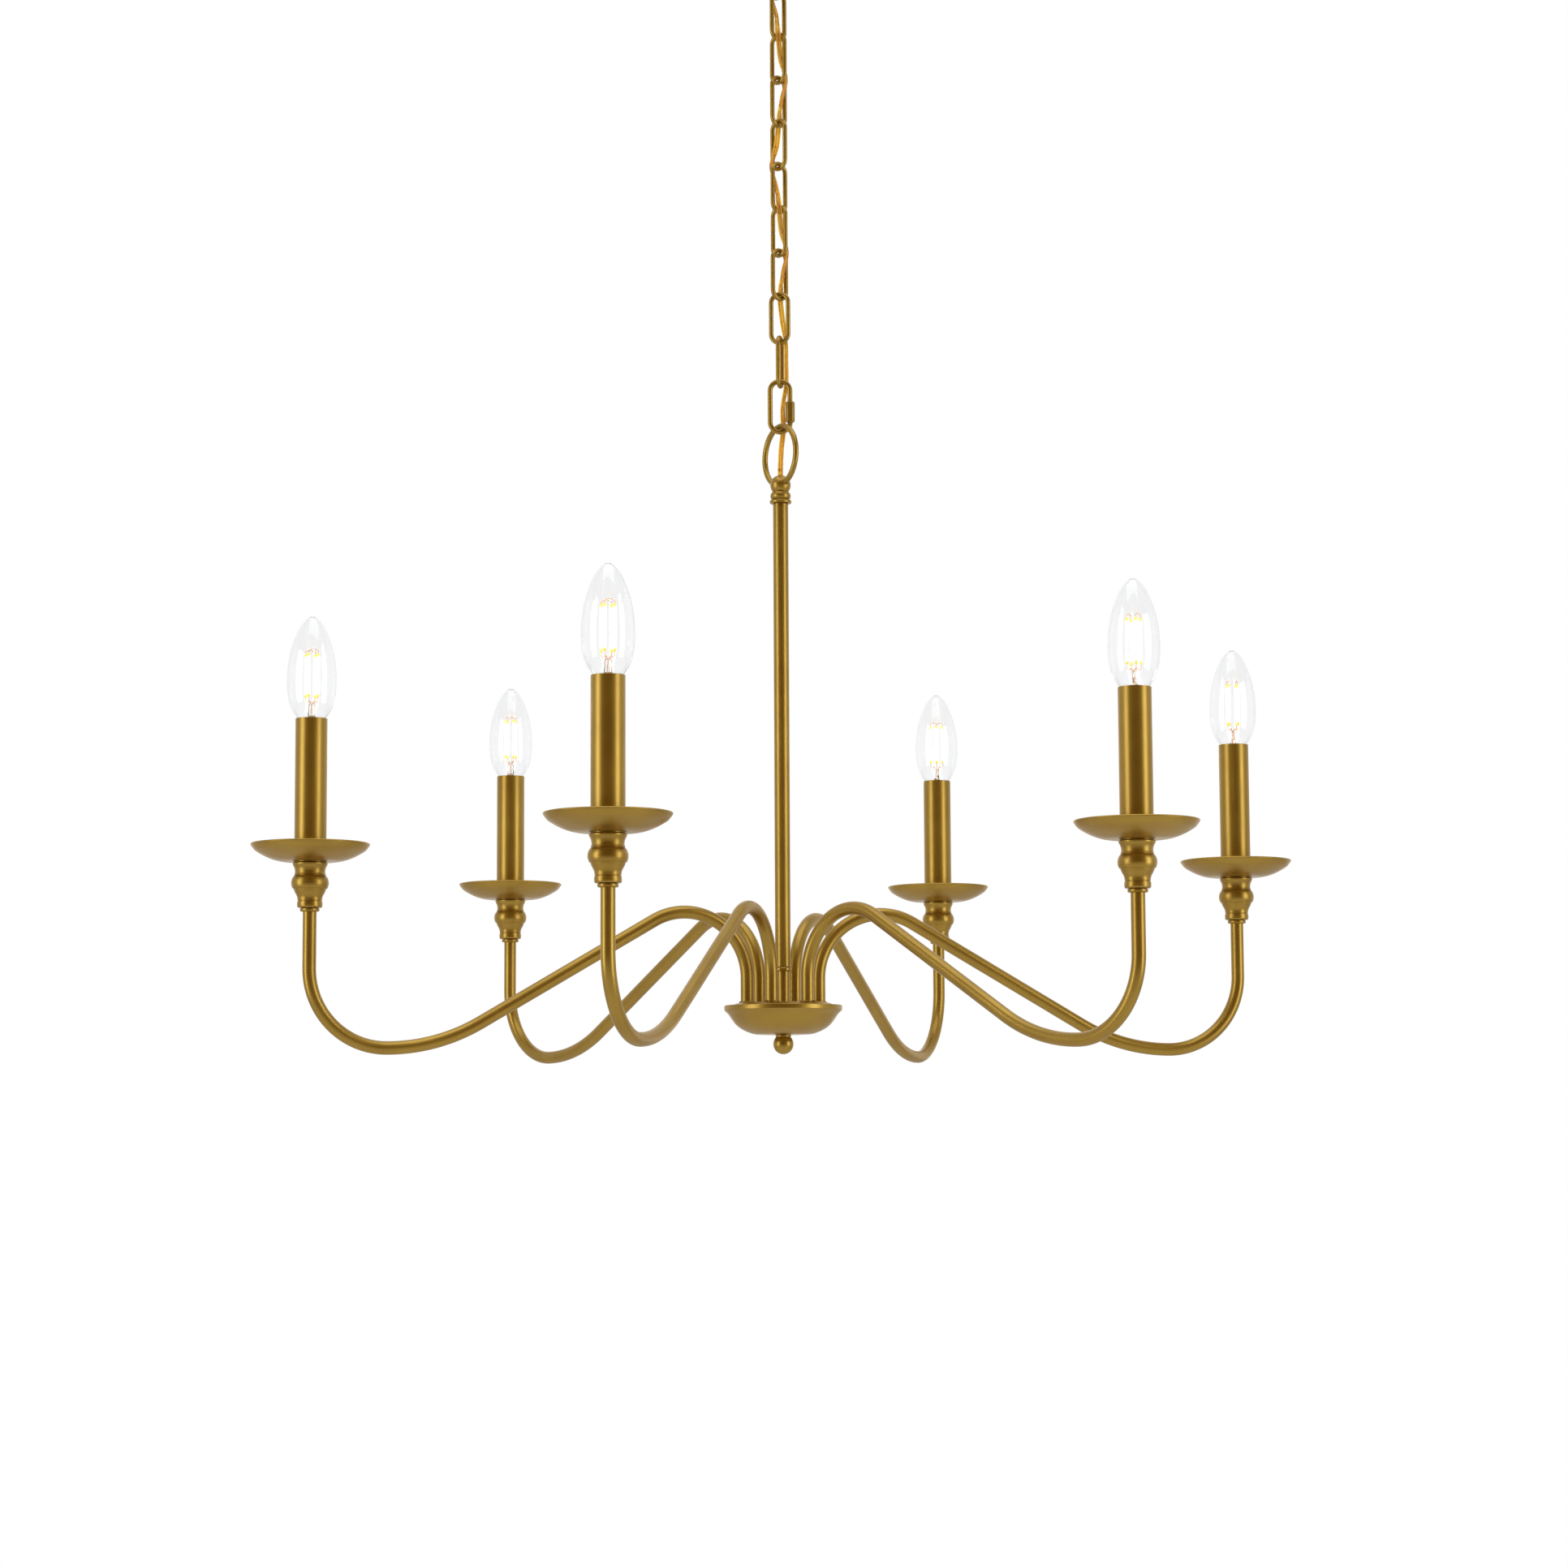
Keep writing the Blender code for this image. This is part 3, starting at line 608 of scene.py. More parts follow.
def make_canopy():
    """A spun dish with a turned-in rim, and the ringed nut that holds it up."""
    outside = smooth([(61.4, -3.4), (58.4, -7.6), (52.6, -12.2), (42, -18), (30, -22.4), (18, -24.9)], 8)
    outline = [(60.9, -0.6, 0.2), (62, -0.6, 0.5), (62, -2.6, 0.6)] + outside + [(13.4, -25.0)]
    inside = [(13.4, -23.9), (18, -23.8)] + [(r - 0.5, z + 1.1) for r, z in outside[::-1][1:]]
    shell = turned("canopy", outline + inside + [(60.9, -2.4)], 128)
    add_piece("canopy_shell", shell, "antique_gold", "canopy", ("canopy",))
    nut = [
        (12.9, -25.3), (15.6, -25.3, 0.5), (17, -26.4, 0.6), (17, -27.6, 0.4), (16.2, -28.1, 0.25),
        (16.8, -28.7, 0.3), (16.8, -30.4, 0.4), (15.9, -31.2, 0.3), (15.2, -33, 0.5), (12.9, -33, 0.3),
    ]
    nut_mesh = turned("nut", nut, 96)
    add_piece("collar_nut", nut_mesh, "antique_gold", "canopy", ("canopy_collar_nut",))


def make_canopy_loop():
    """The threaded nipple, its collar, and the ring that the chain hangs from."""
    rod = threaded("rod", 4.85, 0.35, 1.3, -21.9, -0.6, bore=3.0)
    add_piece("fitting_thread", rod, "zinc_steel", "ceiling_mount")
    collar = [
        (3.0, -22), (11.6, -22, 0.5), (12.5, -23.4, 0.6), (12.5, -33.2, 1.2), (9.6, -35.0, 1.4),
        (6.4, -36, 0.8), (3.0, -36),
    ]
    ring_path = arc((0, FITTING_RING_Z), FITTING_RING_RADIUS, 90, 450, 64)[:-1]
    ring = wire("ring", upright(ring_path), FITTING_RING_WIRE_RADIUS, 24, cyclic=True)
    ring.transform(Matrix.Rotation(FITTING_RING_TURN, 4, "Z"))
    body = carve(turned("collar", collar, 72), ring, "UNION")
    body = carve(body, wire("bore", [(0, 0, -41), (0, 0, -20)], 2.98, 48), "DIFFERENCE")
    add_piece("fitting_collar", body, "antique_gold", "ceiling_mount", ("canopy_loop",))


# ---------------------------------------------------------------- chain


def make_links():
    """Bent wire links, each closed by a butt joint half way up one side."""
    side, bend = LINK_WIDTH / 2, LINK_WIDTH / 2
    seam, chamfer = 0.1, 0.35
    middle = LINK_LENGTH / 2
    start = [(-side, middle + seam), (-side, middle + seam + chamfer), (-side, middle + 6)]
    top = arc((0, LINK_LENGTH - bend), bend, 180, 0, 28)
    low = arc((0, bend), bend, 0, -180, 28)
    end = [(-side, middle - 6), (-side, middle - seam - chamfer), (-side, middle - seam)]
    path = start + top + [(side, middle)] + low + end
    full = LINK_WIRE_RADIUS
    radii = [full - 0.3] + [full] * (len(path) - 2) + [full - 0.3]
    link = wire("link", [(x, 0, z - LINK_LENGTH) for x, z in path], radii, 24)
    for i, turn in enumerate(LINK_TURNS):
        node = f"chain_link_{i + 1}"
        top_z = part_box(node)[1].z - LINK_WIRE_RADIUS * MM
        place = Matrix.Translation((0, 0, top_z)) @ Matrix.Rotation(turn, 4, "Z")
        add_piece(f"link_wire_{i + 1}", moved(link, place), "antique_gold", LINK_BODIES[i], (node,))


def make_quick_link():
    """The link that opens: its bent rod, the threads at its mouth and the hexagon sleeve over them."""
    low_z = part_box("quick_link")[0].z + QUICK_WIRE_RADIUS * MM
    place = Matrix.Translation((0, 0, low_z))
    side, bend = QUICK_WIDTH / 2, QUICK_WIDTH / 2
    top = arc((0, QUICK_LENGTH - bend), bend, 0, 180, 32)
    low = arc((0, bend), bend, 180, 360, 32)
    thread_low, core, full = QUICK_THREAD_LOW, QUICK_THREAD_CORE, QUICK_WIRE_RADIUS
    path = [(side, QUICK_MOUTH[1]), (side, 22.6), (side, 23)] + top + low[:-6]
    path += [(side - 0.35, thread_low - 1.2), (side, thread_low)]
    path += [(side, thread_low + 0.2), (side, QUICK_MOUTH[0])]
    radii = [core, core, full] + [full] * (len(path) - 5) + [core, core]
    rod = wire("rod", upright(path), radii, 24)
    add_piece("quick_link_rod", moved(rod, place), "antique_gold", "quick_link", ("quick_link",))
    threads = []
    for start, end in ((thread_low + 0.1, QUICK_MOUTH[0]), (QUICK_MOUTH[1], 22.7)):
        threads.append(threaded("thread", 1.95, 0.28, 0.8, start, end, core + 0.02))
    beside = place @ Matrix.Translation((side * MM, 0, 0))
    add_piece("quick_link_threads", moved(joined("threads", threads), beside), "antique_gold", "quick_link")
    nut = hexagonal("nut", 3.4, QUICK_NUT[0], QUICK_NUT[1], 2.1, 0.7)
    nut.transform(beside)
    add_piece("quick_link_sleeve", nut, "antique_gold", "quick_link_nut", ("quick_link_nut",))


# ---------------------------------------------------------------- stem and hub


def make_loop():
    """The hanging loop cast with its ball, bored for the cord."""
    start = math.degrees(math.asin((BALL_FLAT - BALL_HEIGHT) / BALL_RADIUS))
    ball = arc((0, BALL_HEIGHT), BALL_RADIUS, 89, start, 24)
    bore, spigot = 2.3, 3.7
    low = 352
    top = BALL_HEIGHT + BALL_RADIUS
    outline = [(bore, top - 0.3)] + ball[6:] + [(spigot, BALL_FLAT), (spigot, low), (bore, low)]
    ring_path = arc((0, LOOP_HEIGHT), LOOP_RADIUS, 90, 450, 120)[:-1]
    ring = wire("ring", upright(ring_path), LOOP_WIRE_RADIUS, 28, cyclic=True)
    ring.transform(Matrix.Rotation(LOOP_TURN, 4, "Z"))
    loop = carve(turned("loop", outline, 72), ring, "UNION")
    loop = carve(loop, wire("bore", [(0, 0, low + 1), (0, 0, top + 1)], bore - 0.02, 48), "DIFFERENCE")
    add_piece("loop_casting", moved(loop, HUB), "antique_gold", "chandelier", ("hanging_loop",))


def make_stem():
    """The bead and flange under the loop, the stem tube, and the narrower tube at the hub with its ring."""
    bead = arc((3.6, 367.7), 3.8, 58, -50, 16)
    collar = [(4, 370.3), (5.2, 370.3, 0.2)] + bead
    collar += [(6.2, 364.6, 0.2), (7.6, 364.5, 0.3), (7.9, 363.6, 0.5), (7.6, 362.3, 0.3), (4, 362.3)]
    tube = [(4.2, 362), (5.5, 362, 0.2), (5.5, 27.9, 0.3), (4.2, 27.9)]
    lower = [
        (3.7, 27.6), (5.6, 27.6, 0.2), (6.0, 27.0, 0.3), (6.0, 25.6, 0.3), (5.6, 25.0, 0.2), (4.65, 25.0),
        (4.65, 3.8), (5.0, 2.9), (3.7, 2.9),
    ]
    stem_pieces = (
        ("stem_bead", collar, 72, "stem_collar"),
        ("stem_tube", tube, 64, "stem"),
        ("stem_foot", lower, 64, "lower_stem"),
    )
    for name, outline, steps, node in stem_pieces:
        mesh = moved(turned(name, outline, steps), HUB)
        add_piece(name, mesh, "antique_gold", "chandelier", (node,))


def make_hub():
    """The lid that carries the arms, the bowl under it, and the nipple, nut and finial that hold them."""
    edge = 39.9
    crown = smooth([(33.0, 2.3), (35.2, 1.5), (37.6, 0.8), (edge, 0.3)], 6)
    lid = [(3.7, PLATE_TOP), (31.2, PLATE_TOP, 0.8)] + crown
    lid += [(edge, -1.4), (37, -0.9), (34.4, 0.2), (32.4, 1.0), (3.7, 1.0)]
    plate = turned("lid", lid, 128)
    holes = []
    for swivel in SWIVELS:
        x, y = swivel.x / MM, swivel.y / MM
        holes.append(wire("hole", [(x, y, -2), (x, y, 8)], ROOT_HOLE_RADIUS, 32))
    plate = carve(plate, joined("holes", holes), "DIFFERENCE")
    add_piece("hub_lid", moved(plate, HUB), "antique_gold", "chandelier", ("hub_plate",))

    side = smooth(
        [
            (40.4, -4.0), (38.8, -5.7), (36.8, -8.7), (34.4, -11.9), (31.4, -14.7), (27.0, -17.3),
            (22.6, -19.0),
        ],
        6,
    )
    outline = [(40.3, 0.8, 0.2), (41.9, 0.8, 0.6), (41.9, -2.5, 0.6), (41.2, -3.3, 0.3)] + side
    outline += [(20.0, -19.6), (17.0, -BOWL_DEPTH), (3.7, -BOWL_DEPTH)]
    inner = [(3.7, -18.5), (16.6, -18.5)] + [(r - 0.8, z + 1.1) for r, z in side[::-1]]
    inner += [(38.4, -1.7), (40.3, -1.7)]
    dish = moved(turned("bowl", outline + inner, 144), HUB)
    add_piece("hub_dish", dish, "antique_gold", "chandelier", ("hub_bowl",))

    rod = threaded("rod", 3.3, 0.3, 1.2, -25, 40, bore=2.2)
    add_piece("centre_rod", moved(rod, HUB), "zinc_steel", "chandelier", ("centre_nipple",))
    nut = hexagonal("nut", 6.4, *HUB_NUT_Z, 3.35, 0.4)
    add_piece("hub_nut", moved(nut, HUB), "zinc_steel", "chandelier")

    start = math.degrees(math.acos(5.2 / FINIAL_RADIUS))
    ball = arc((0, FINIAL_HEIGHT), FINIAL_RADIUS, start, -89, 28)
    finial = [(0, -25.4), (3.7, -25.4), (3.7, -20.1), (5.6, -20.1, 0.15), (5.6, -21.1, 0.2)]
    finial += ball + [(0, FINIAL_HEIGHT - FINIAL_RADIUS)]
    finial_mesh = moved(turned("finial", finial, 80, closed=False), HUB)
    add_piece("finial_ball", finial_mesh, "antique_gold", "chandelier", ("finial",))


# ---------------------------------------------------------------- arms


def arm_path():
    """Centreline (x from the swivel axis, z from the rim plane) of the arm above its root."""
    over = arc((OVER_BEND, OVER_BEND_START), OVER_BEND, 180, 90 - math.degrees(RUN_SLOPE), 40)
    lowest_x = ARM_LENGTH - OUTER_BEND
    start_x, start_z = over[-1]
    drop = math.tan(RUN_SLOPE) * (lowest_x - start_x) - (start_z - ARM_LOWEST)
    wide = drop * math.cos(RUN_SLOPE) / (1 - math.cos(RUN_SLOPE))
    inner = arc((lowest_x, ARM_LOWEST + wide), wide, 270 - math.degrees(RUN_SLOPE), 270, 24)
    outer = arc((lowest_x, ARM_LOWEST + OUTER_BEND), OUTER_BEND, 270, 360, 36)
    return over + inner + outer[1:]


def make_arm_tube():
    """The bent tube with its root spigot, and at its tip the collar and spigot that carry the cup."""
    foot = PLATE_TOP + 0.3
    root = [(-1.2, 3.7), (foot, 3.7), (foot + 0.05, 4.45), (foot + 0.3, ARM_RADIUS), (foot + 8, ARM_RADIUS)]
    tip = [
        (40, ARM_RADIUS), (61.6, ARM_RADIUS), (61.75, 5.9), (62.0, 6.4), (62.4, 6.6), (63.5, 6.6),
        (63.9, 6.4), (64.1, 5.9), (64.12, 4.0), (111, 4.0),
    ]
    path = arm_path()
    points = [(0, z) for z, _ in root] + path + [(ARM_LENGTH, z) for z, _ in tip]
    radii = [r for _, r in root] + [ARM_RADIUS] * len(path) + [r for _, r in tip]
    return wire("arm", upright(points), radii, 32)


def make_root_ring():
    """The split ring that the arm's foot stands in, its ends a little apart."""
    gap, radius = 24, 5.35
    path = []
    for degrees in range(gap, 361 - gap, 8):
        angle = math.radians(degrees)
        path.append((radius * math.cos(angle), radius * math.sin(angle), PLATE_TOP + 0.55))
    return wire("root_ring", path, 0.5, 12)


def make_cup_shell():
    """The turned cup: a waisted top, a round belly with a groove on either side, and a flared foot."""
    waist = smooth([(11.75, 93.5), (10.75, 91.6), (10.25, 89.4), (10.3, 87.9), (10.75, 86.5)], 4)
    belly = smooth(
        [(10.95, 85.9), (11.9, 84.6), (12.6, 82.4), (12.65, 80.2), (12.2, 78.4), (11.65, 77.3)], 5
    )
    flare = smooth([(10.75, 76.2), (10.1, 74.7), (9.1, 72.9), (8.5, 71.2), (8.3, 69.4)], 4)
    outline = [(4.4, 95), (11.4, 95, 0.3), (11.85, 94.5, 0.35)] + waist
    outline += [(10.45, 86.3), (10.5, 86.1)] + belly + [(11.05, 77.15), (10.95, 76.9)] + flare
    outline += [(8.05, 69.1), (8.05, 68.8), (8.5, 68.5, 0.1), (8.6, 66.6), (8.5, 65.2, 0.5)]
    outline += [(8.0, 64.4, 0.3), (4.4, 64.4)]
    return turned("cup", outline, 80)


def make_pan_dish():
    """The drip pan: a thin spun dish with a rolled lip, on its boss."""
    under = smooth(
        [
            (39.9, 106.4), (38.7, 104.8), (37.2, 103.2), (33.4, 100.8), (29.8, 98.95), (26.5, 97.6),
            (23.4, 96.65), (20, 96.0), (16.6, 95.75), (12, 95.7),
        ],
        4,
    )
    over = smooth(
        [
            (6, 96.9), (13, 96.9), (19.8, 97.1), (23.2, 97.75), (26.1, 98.6), (29.4, 99.95),
            (32.8, 101.7), (36.4, 104.2), (37.8, 105.7), (38.9, 107.3),
        ],
        4,
    )
    outline = [(40.4, 107.5, 0.3)] + under + [(10.8, 95.7), (10.8, 95.3), (4.4, 95.3), (4.4, 96.9)]
    return turned("pan", outline + over + [(39.8, 108.2, 0.25)], 112)


def make_sleeve_tube():
    """The plain candle sleeve."""
    outline = [(10.05, 193.5), (10.85, 193.5, 0.2), (10.85, 97.3, 0.25), (10.05, 97.3)]
    return turned("sleeve", outline, 72)


def make_holder_shell():
    """The lamp holder inside the sleeve, its socket threaded for the lamp."""
    grip = []
    pitch = 2.54
    for i in range(7):
        height = 168 + i * pitch
        grip += [(7.0, height), (6.45, height + pitch / 2)]
    outline = [(0, 166), (6.4, 166)] + grip
    outline += [(6.7, 186, 0.2), (8.2, 186, 0.4), (8.2, 151, 0.6), (5.8, 147, 0.6), (5.8, 97.3, 0.3)]
    outline += [(4.4, 97.3), (4.4, 112), (0, 112)]
    return turned("holder", outline, 64, closed=False)


def make_bulb_glass():
    """The candle envelope as a thin wall, drawn in at its neck."""
    outside = smooth(
        [
            (1.2, 263.85), (2.7, 263.15), (5.0, 261.1), (7.7, 257.6), (10.4, 252.2), (12.8, 246.0),
            (14.9, 238.6), (16.3, 229.6), (16.8, 220.4), (16.5, 211.8), (15.1, 204.2), (12.6, 198.0),
            (9.3, 193.2), (6.9, 189.8), (6.1, 187.9),
        ],
        5,
    )
    tip, wall = 264, 0.7
    inside = []
    for before, here, after in zip(outside, outside[1:], outside[2:]):
        slope = Vector(after) - Vector(before)
        normal = Vector((slope.y, -slope.x)).normalized()
        if here[0] > 3 * wall:
            inside.append((here[0] + normal.x * wall, here[1] + normal.y * wall))
    crown = smooth([(0, tip - wall), (0.9, tip - 1.2 * wall), inside[0]], 4)
    outline = [(0, tip)] + outside + [(5.4, 187.9)] + inside[::-1] + crown[-2::-1]
    return turned("glass", outline, 120, closed=False)


def make_bulb_base():
    """Screw shell, its insulator and the contact at its tip."""
    ridges = []
    pitch = 2.1
    for i in range(6):
        top = 184.6 - i * pitch
        ridges += smooth([(5.45, top), (5.9, top - 0.55), (5.9, top - 0.95), (5.45, top - 1.5)], 3)
    outline = [(0, 187.4), (5.4, 187.4), (5.4, 188.4), (6.3, 188.4, 0.2), (6.3, 186.4, 0.4), (5.5, 185.4)]
    outline += ridges + [(5.3, 172.2), (4.2, 171.0, 0.3), (2.6, 169.4, 0.3), (2.2, 168.4)]
    outline += [(1.4, 168.0), (0, 168)]
    return turned("base", outline, 64, closed=False)


def make_bulb_mount():
    """The glass stem that carries the filaments, pinched flat at its top."""
    heights = [188.6, 190, 192, 194, 196, 198, 200, 201.5, 203, 204]
    flat = [0, 0, 0, 0.1, 0.3, 0.55, 0.75, 0.8, 0.8, 0.8]
    width = [5.0, 4.2, 3.4, 2.9, 2.7, 2.6, 2.6, 2.5, 2.2, 1.4]

    def radius_at(angle, height):
        i = heights.index(height)
        squeeze = 1 - flat[i] * abs(math.sin(angle))
        return width[i] * squeeze

    return shaped("mount", heights, radius_at, 40)


# Four filaments stand on a circle about the lamp's axis.
FILAMENT_CIRCLE = 4.6
FILAMENT_TURNS = [math.radians(45 + 90 * i) for i in range(4)]
FILAMENT_Z = (208.0, 238.4)


def spot(radius, angle, height):
    """A point from its distance and angle about the lamp's axis."""
    return (radius * math.cos(angle), radius * math.sin(angle), height)


def make_filaments():
    """Four phosphor coated sticks."""
    low, high = FILAMENT_Z
    sticks = []
    for angle in FILAMENT_TURNS:
        heights = [low, low + 0.3, low + 0.8, (low + high) / 2, high - 0.8, high - 0.3, high]
        path = [spot(FILAMENT_CIRCLE, angle, z) for z in heights]
        sticks.append(wire("stick", path, [0.45, 0.75, 0.9, 0.92, 0.9, 0.75, 0.45], 14))
    return joined("filaments", sticks)


def make_leads():
    """Wires that hold the sticks: a hoop for each pair at the top, and legs from the stem at the foot."""
    low, high = FILAMENT_Z
    wires = []
    for first, second in ((0, 1), (2, 3)):
        a, b = FILAMENT_TURNS[first], FILAMENT_TURNS[second]
        middle = (a + b) / 2
        path = [
            spot(FILAMENT_CIRCLE, a, high - 0.2),
            spot(FILAMENT_CIRCLE, a, high + 1.5),
            spot(FILAMENT_CIRCLE - 1.2, middle, high + 2.6),
            spot(FILAMENT_CIRCLE, b, high + 1.5),
            spot(FILAMENT_CIRCLE, b, high - 0.2),
        ]
        wires.append(wire("hoop", smooth(path, 6), 0.2, 8))
    for i, angle in enumerate(FILAMENT_TURNS):
        path = [
            spot(0.9 + 0.2 * i, angle, 203.2),
            spot(1.8, angle, 205.2 + 0.2 * i),
            spot(3.6, angle, 204.6),
            spot(FILAMENT_CIRCLE, angle, 206),
            spot(FILAMENT_CIRCLE, angle, low + 0.2),
        ]
        wires.append(wire("leg", smooth(path, 5), 0.2, 8))
    for side in (-1, 1):
        path = [(side * 0.55, 0, 189), (side * 0.5, 0, 197), (side * 0.35, 0.3 * side, 203.6)]
        wires.append(wire("lead", smooth(path, 5), 0.22, 8))
    return joined("leads", wires)


def make_arms():
    """Six alike, each turned to its own place; the lamps are screwed in to different turns."""
    candle = Matrix.Translation((ARM_LENGTH * MM, 0, 0))
    nut = hexagonal("nut", 6.0, *HUB_NUT_Z, 3.75, 0.4)
    arm_pieces = (
        ("arm_tube", make_arm_tube(), "antique_gold", Matrix(), "arm"),
        ("root_ring", make_root_ring(), "antique_gold", Matrix(), None),
        ("root_nut", nut, "zinc_steel", Matrix(), None),
        ("cup_shell", make_cup_shell(), "antique_gold", candle, "cup"),
        ("pan_dish", make_pan_dish(), "antique_gold", candle, "drip_pan"),
        ("sleeve_tube", make_sleeve_tube(), "antique_gold", candle, "candle_sleeve"),
        ("holder_shell", make_holder_shell(), "lamp_holder", candle, "lamp_holder"),
    )
    bulb_pieces = (
        ("bulb_glass", make_bulb_glass(), "clear_glass", "bulb"),
        ("bulb_base", make_bulb_base(), "lamp_base", None),
        ("bulb_mount", make_bulb_mount(), "clear_glass", None),
        ("bulb_filaments", make_filaments(), "led_filament", None),
        ("bulb_leads", make_leads(), "bare_wire", None),
    )
    first_turn, turn_step = 20, 37
    for k, swivel in enumerate(SWIVELS):
        out = CANDLES[k] - swivel
        turn = math.atan2(out.y, out.x)
        place = Matrix.Translation((swivel.x, swivel.y, HUB_Z)) @ Matrix.Rotation(turn, 4, "Z")
        for name, mesh, finish, offset, node in arm_pieces:
            stands_for = (f"{node}_{k + 1}",) if node else ()
            add_piece(f"{name}_{k + 1}", moved(mesh, place @ offset), finish, f"arm_{k + 1}", stands_for)
        own_turn = math.radians(first_turn + turn_step * k)
        screwed = place @ candle @ Matrix.Rotation(own_turn - turn, 4, "Z")
        for name, mesh, finish, node in bulb_pieces:
            stands_for = (f"{node}_{k + 1}",) if node else ()
            add_piece(f"{name}_{k + 1}", moved(mesh, screwed), finish, f"bulb_{k + 1}", stands_for)


# ---------------------------------------------------------------- supply cord


# Radius of each half of the cord's jacket, and how far out its middle lies.
CORD_LOBE = 1.05
CORD_LOBE_SIDE = 0.98
CORD_STEPS = 10
CORD_START = -1.5
CORD_NIPPLE_POINT = -20
CORD_STEM_POINTS = 4
CORE_RADIUS = 0.3
GROUND_RADIUS = 0.36
GROUND_OUT = 1.42


def twin_section():
    """The outline of two conductors side by side, joined along a groove."""
    right = arc((CORD_LOBE_SIDE, 0), CORD_LOBE, -152, 152, 12)
    left = arc((-CORD_LOBE_SIDE, 0), CORD_LOBE, 28, 332, 12)
    return [(x * MM, z * MM) for x, z in right + left]


def cord_route():
    """(point, facing) along the cord in metres, facing being the way its flat side's breadth lies."""
    ball_top = HUB_Z + (BALL_HEIGHT + BALL_RADIUS) * MM
    meets = LINK_PIVOTS + [QUICK_PIVOT, LOOP_PIVOT]
    contacts = [z + 2 * MM for z in meets]
    lowers = contacts[1:] + [HUB_Z + (BALL_HEIGHT + 12) * MM]
    collar_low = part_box("canopy_loop")[0].z / MM + 18.5
    starts = (CORD_START, CORD_NIPPLE_POINT, collar_low)
    points = [Vector((0, 0, height * MM)) for height in starts]
    angles = [90.0] * len(starts)
    for (beside, middle), contact, below in zip(CORD_ROUTE_MM, contacts, lowers):
        facing = math.degrees(math.atan2(beside[1], beside[0])) + 90
        for place, height in ((beside, contact), (middle, (contact + below) / 2)):
            points.append(Vector((place[0] * MM, place[1] * MM, height)))
            angles.append(facing + 180 * round((angles[-1] - facing) / 180))
    points += [Vector((0, 0, ball_top + 4 * MM)), Vector((0, 0, ball_top - 4 * MM))]
    for k in range(1, CORD_STEM_POINTS + 1):
        down = (ball_top - HUB_Z - 14 * MM) * k / CORD_STEM_POINTS
        points.append(Vector((0, 0, ball_top - 4 * MM - down)))
    angles += [angles[-1]] * (CORD_STEM_POINTS + 2)
    turned_points = smooth([(*point, angle * MM) for point, angle in zip(points, angles)], CORD_STEPS)
    route = []
    for x, y, z, angle in turned_points:
        turn = math.radians(angle / MM)
        route.append((Vector((x, y, z)), Vector((math.cos(turn), math.sin(turn), 0))))
    return route


def make_cord():
    """The twin cord with a bare ground wire beside it, cut into lengths; the end ones ride on the ceiling
    mount and the chandelier.
    """
    route = cord_route()
    section = twin_section()
    nodes = [LINK_PIVOTS[0] + 12 * MM]
    pivots = LINK_PIVOTS + [QUICK_PIVOT, LOOP_PIVOT]
    nodes += [(upper + lower) / 2 for upper, lower in zip(pivots, pivots[1:])]
    nodes.append(LOOP_PIVOT - 24 * MM)
    cuts = [min(range(len(route)), key=lambda i: abs(route[i][0].z - z)) for z in nodes]
    bounds = [0] + cuts + [len(route) - 1]
    for n, (start, end) in enumerate(zip(bounds, bounds[1:])):
        stretch = route[start:end + 1]
        points = [point for point, _ in stretch]
        facings = [facing for _, facing in stretch]
        over = [facing.cross(AXIS_Z) for facing in facings]
        wires = []
        for side in (-1, 1):
            core = [p + f * side * CORD_LOBE_SIDE * MM for p, f in zip(points, facings)]
            wires.append(along("core", core, [circle(CORE_RADIUS, 10)] * len(core)))
        jacket = along("jacket", points, [section] * len(points), facings)
        beside = [p + o * GROUND_OUT * MM for p, o in zip(points, over)]
        ground = along("ground", beside, [circle(GROUND_RADIUS, 10)] * len(beside))
        pieces = (
            (f"cord_jacket_{n}", jacket, "amber_cord"),
            (f"cord_cores_{n}", joined("cores", wires), "bare_wire"),
            (f"ground_wire_{n}", ground, "bare_wire"),
        )
        for name, mesh, finish in pieces:
            stands_for = ("supply_cord",) if finish == "amber_cord" else ()
            if n == 0 or n == len(bounds) - 2:
                add_piece(name, mesh, finish, CHAIN_BODIES[0 if n == 0 else -1], stands_for)
                continue
            obj = add_piece(name, mesh, finish, None, stands_for)
            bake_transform(obj)


# ---------------------------------------------------------------- studio


# Distances of the camera from the hub and its lens are in millimetres, its turns in degrees.
CAMERA_SIDE = -3.9
CAMERA_BACK = 2371.9
CAMERA_DROP = 88.9
CAMERA_LENS = 76.56
CAMERA_PITCH = 5.965
CAMERA_YAW = 0.128
CAMERA_ROLL = -0.301
FLOOR_Z = -2.4


def make_camera():
    """The photo's view: from in front, a little to the left and below the rim's plane, looking up."""
    camera = bpy.data.cameras.new("camera")
    camera.lens = CAMERA_LENS
    camera.sensor_width = 36
    camera.clip_end = 100
    obj = bpy.data.objects.new("camera", camera)
    bpy.context.scene.collection.objects.link(obj)
    obj.location = (CAMERA_SIDE * MM, -CAMERA_BACK * MM, HUB_Z - CAMERA_DROP * MM)
    yaw = Matrix.Rotation(math.radians(-CAMERA_YAW), 4, "Z")
    pitch = Matrix.Rotation(math.radians(90 + CAMERA_PITCH), 4, "X")
    roll = Matrix.Rotation(math.radians(CAMERA_ROLL), 4, "Z")
    obj.rotation_euler = (yaw @ pitch @ roll).to_euler()
    bpy.context.scene.camera = obj


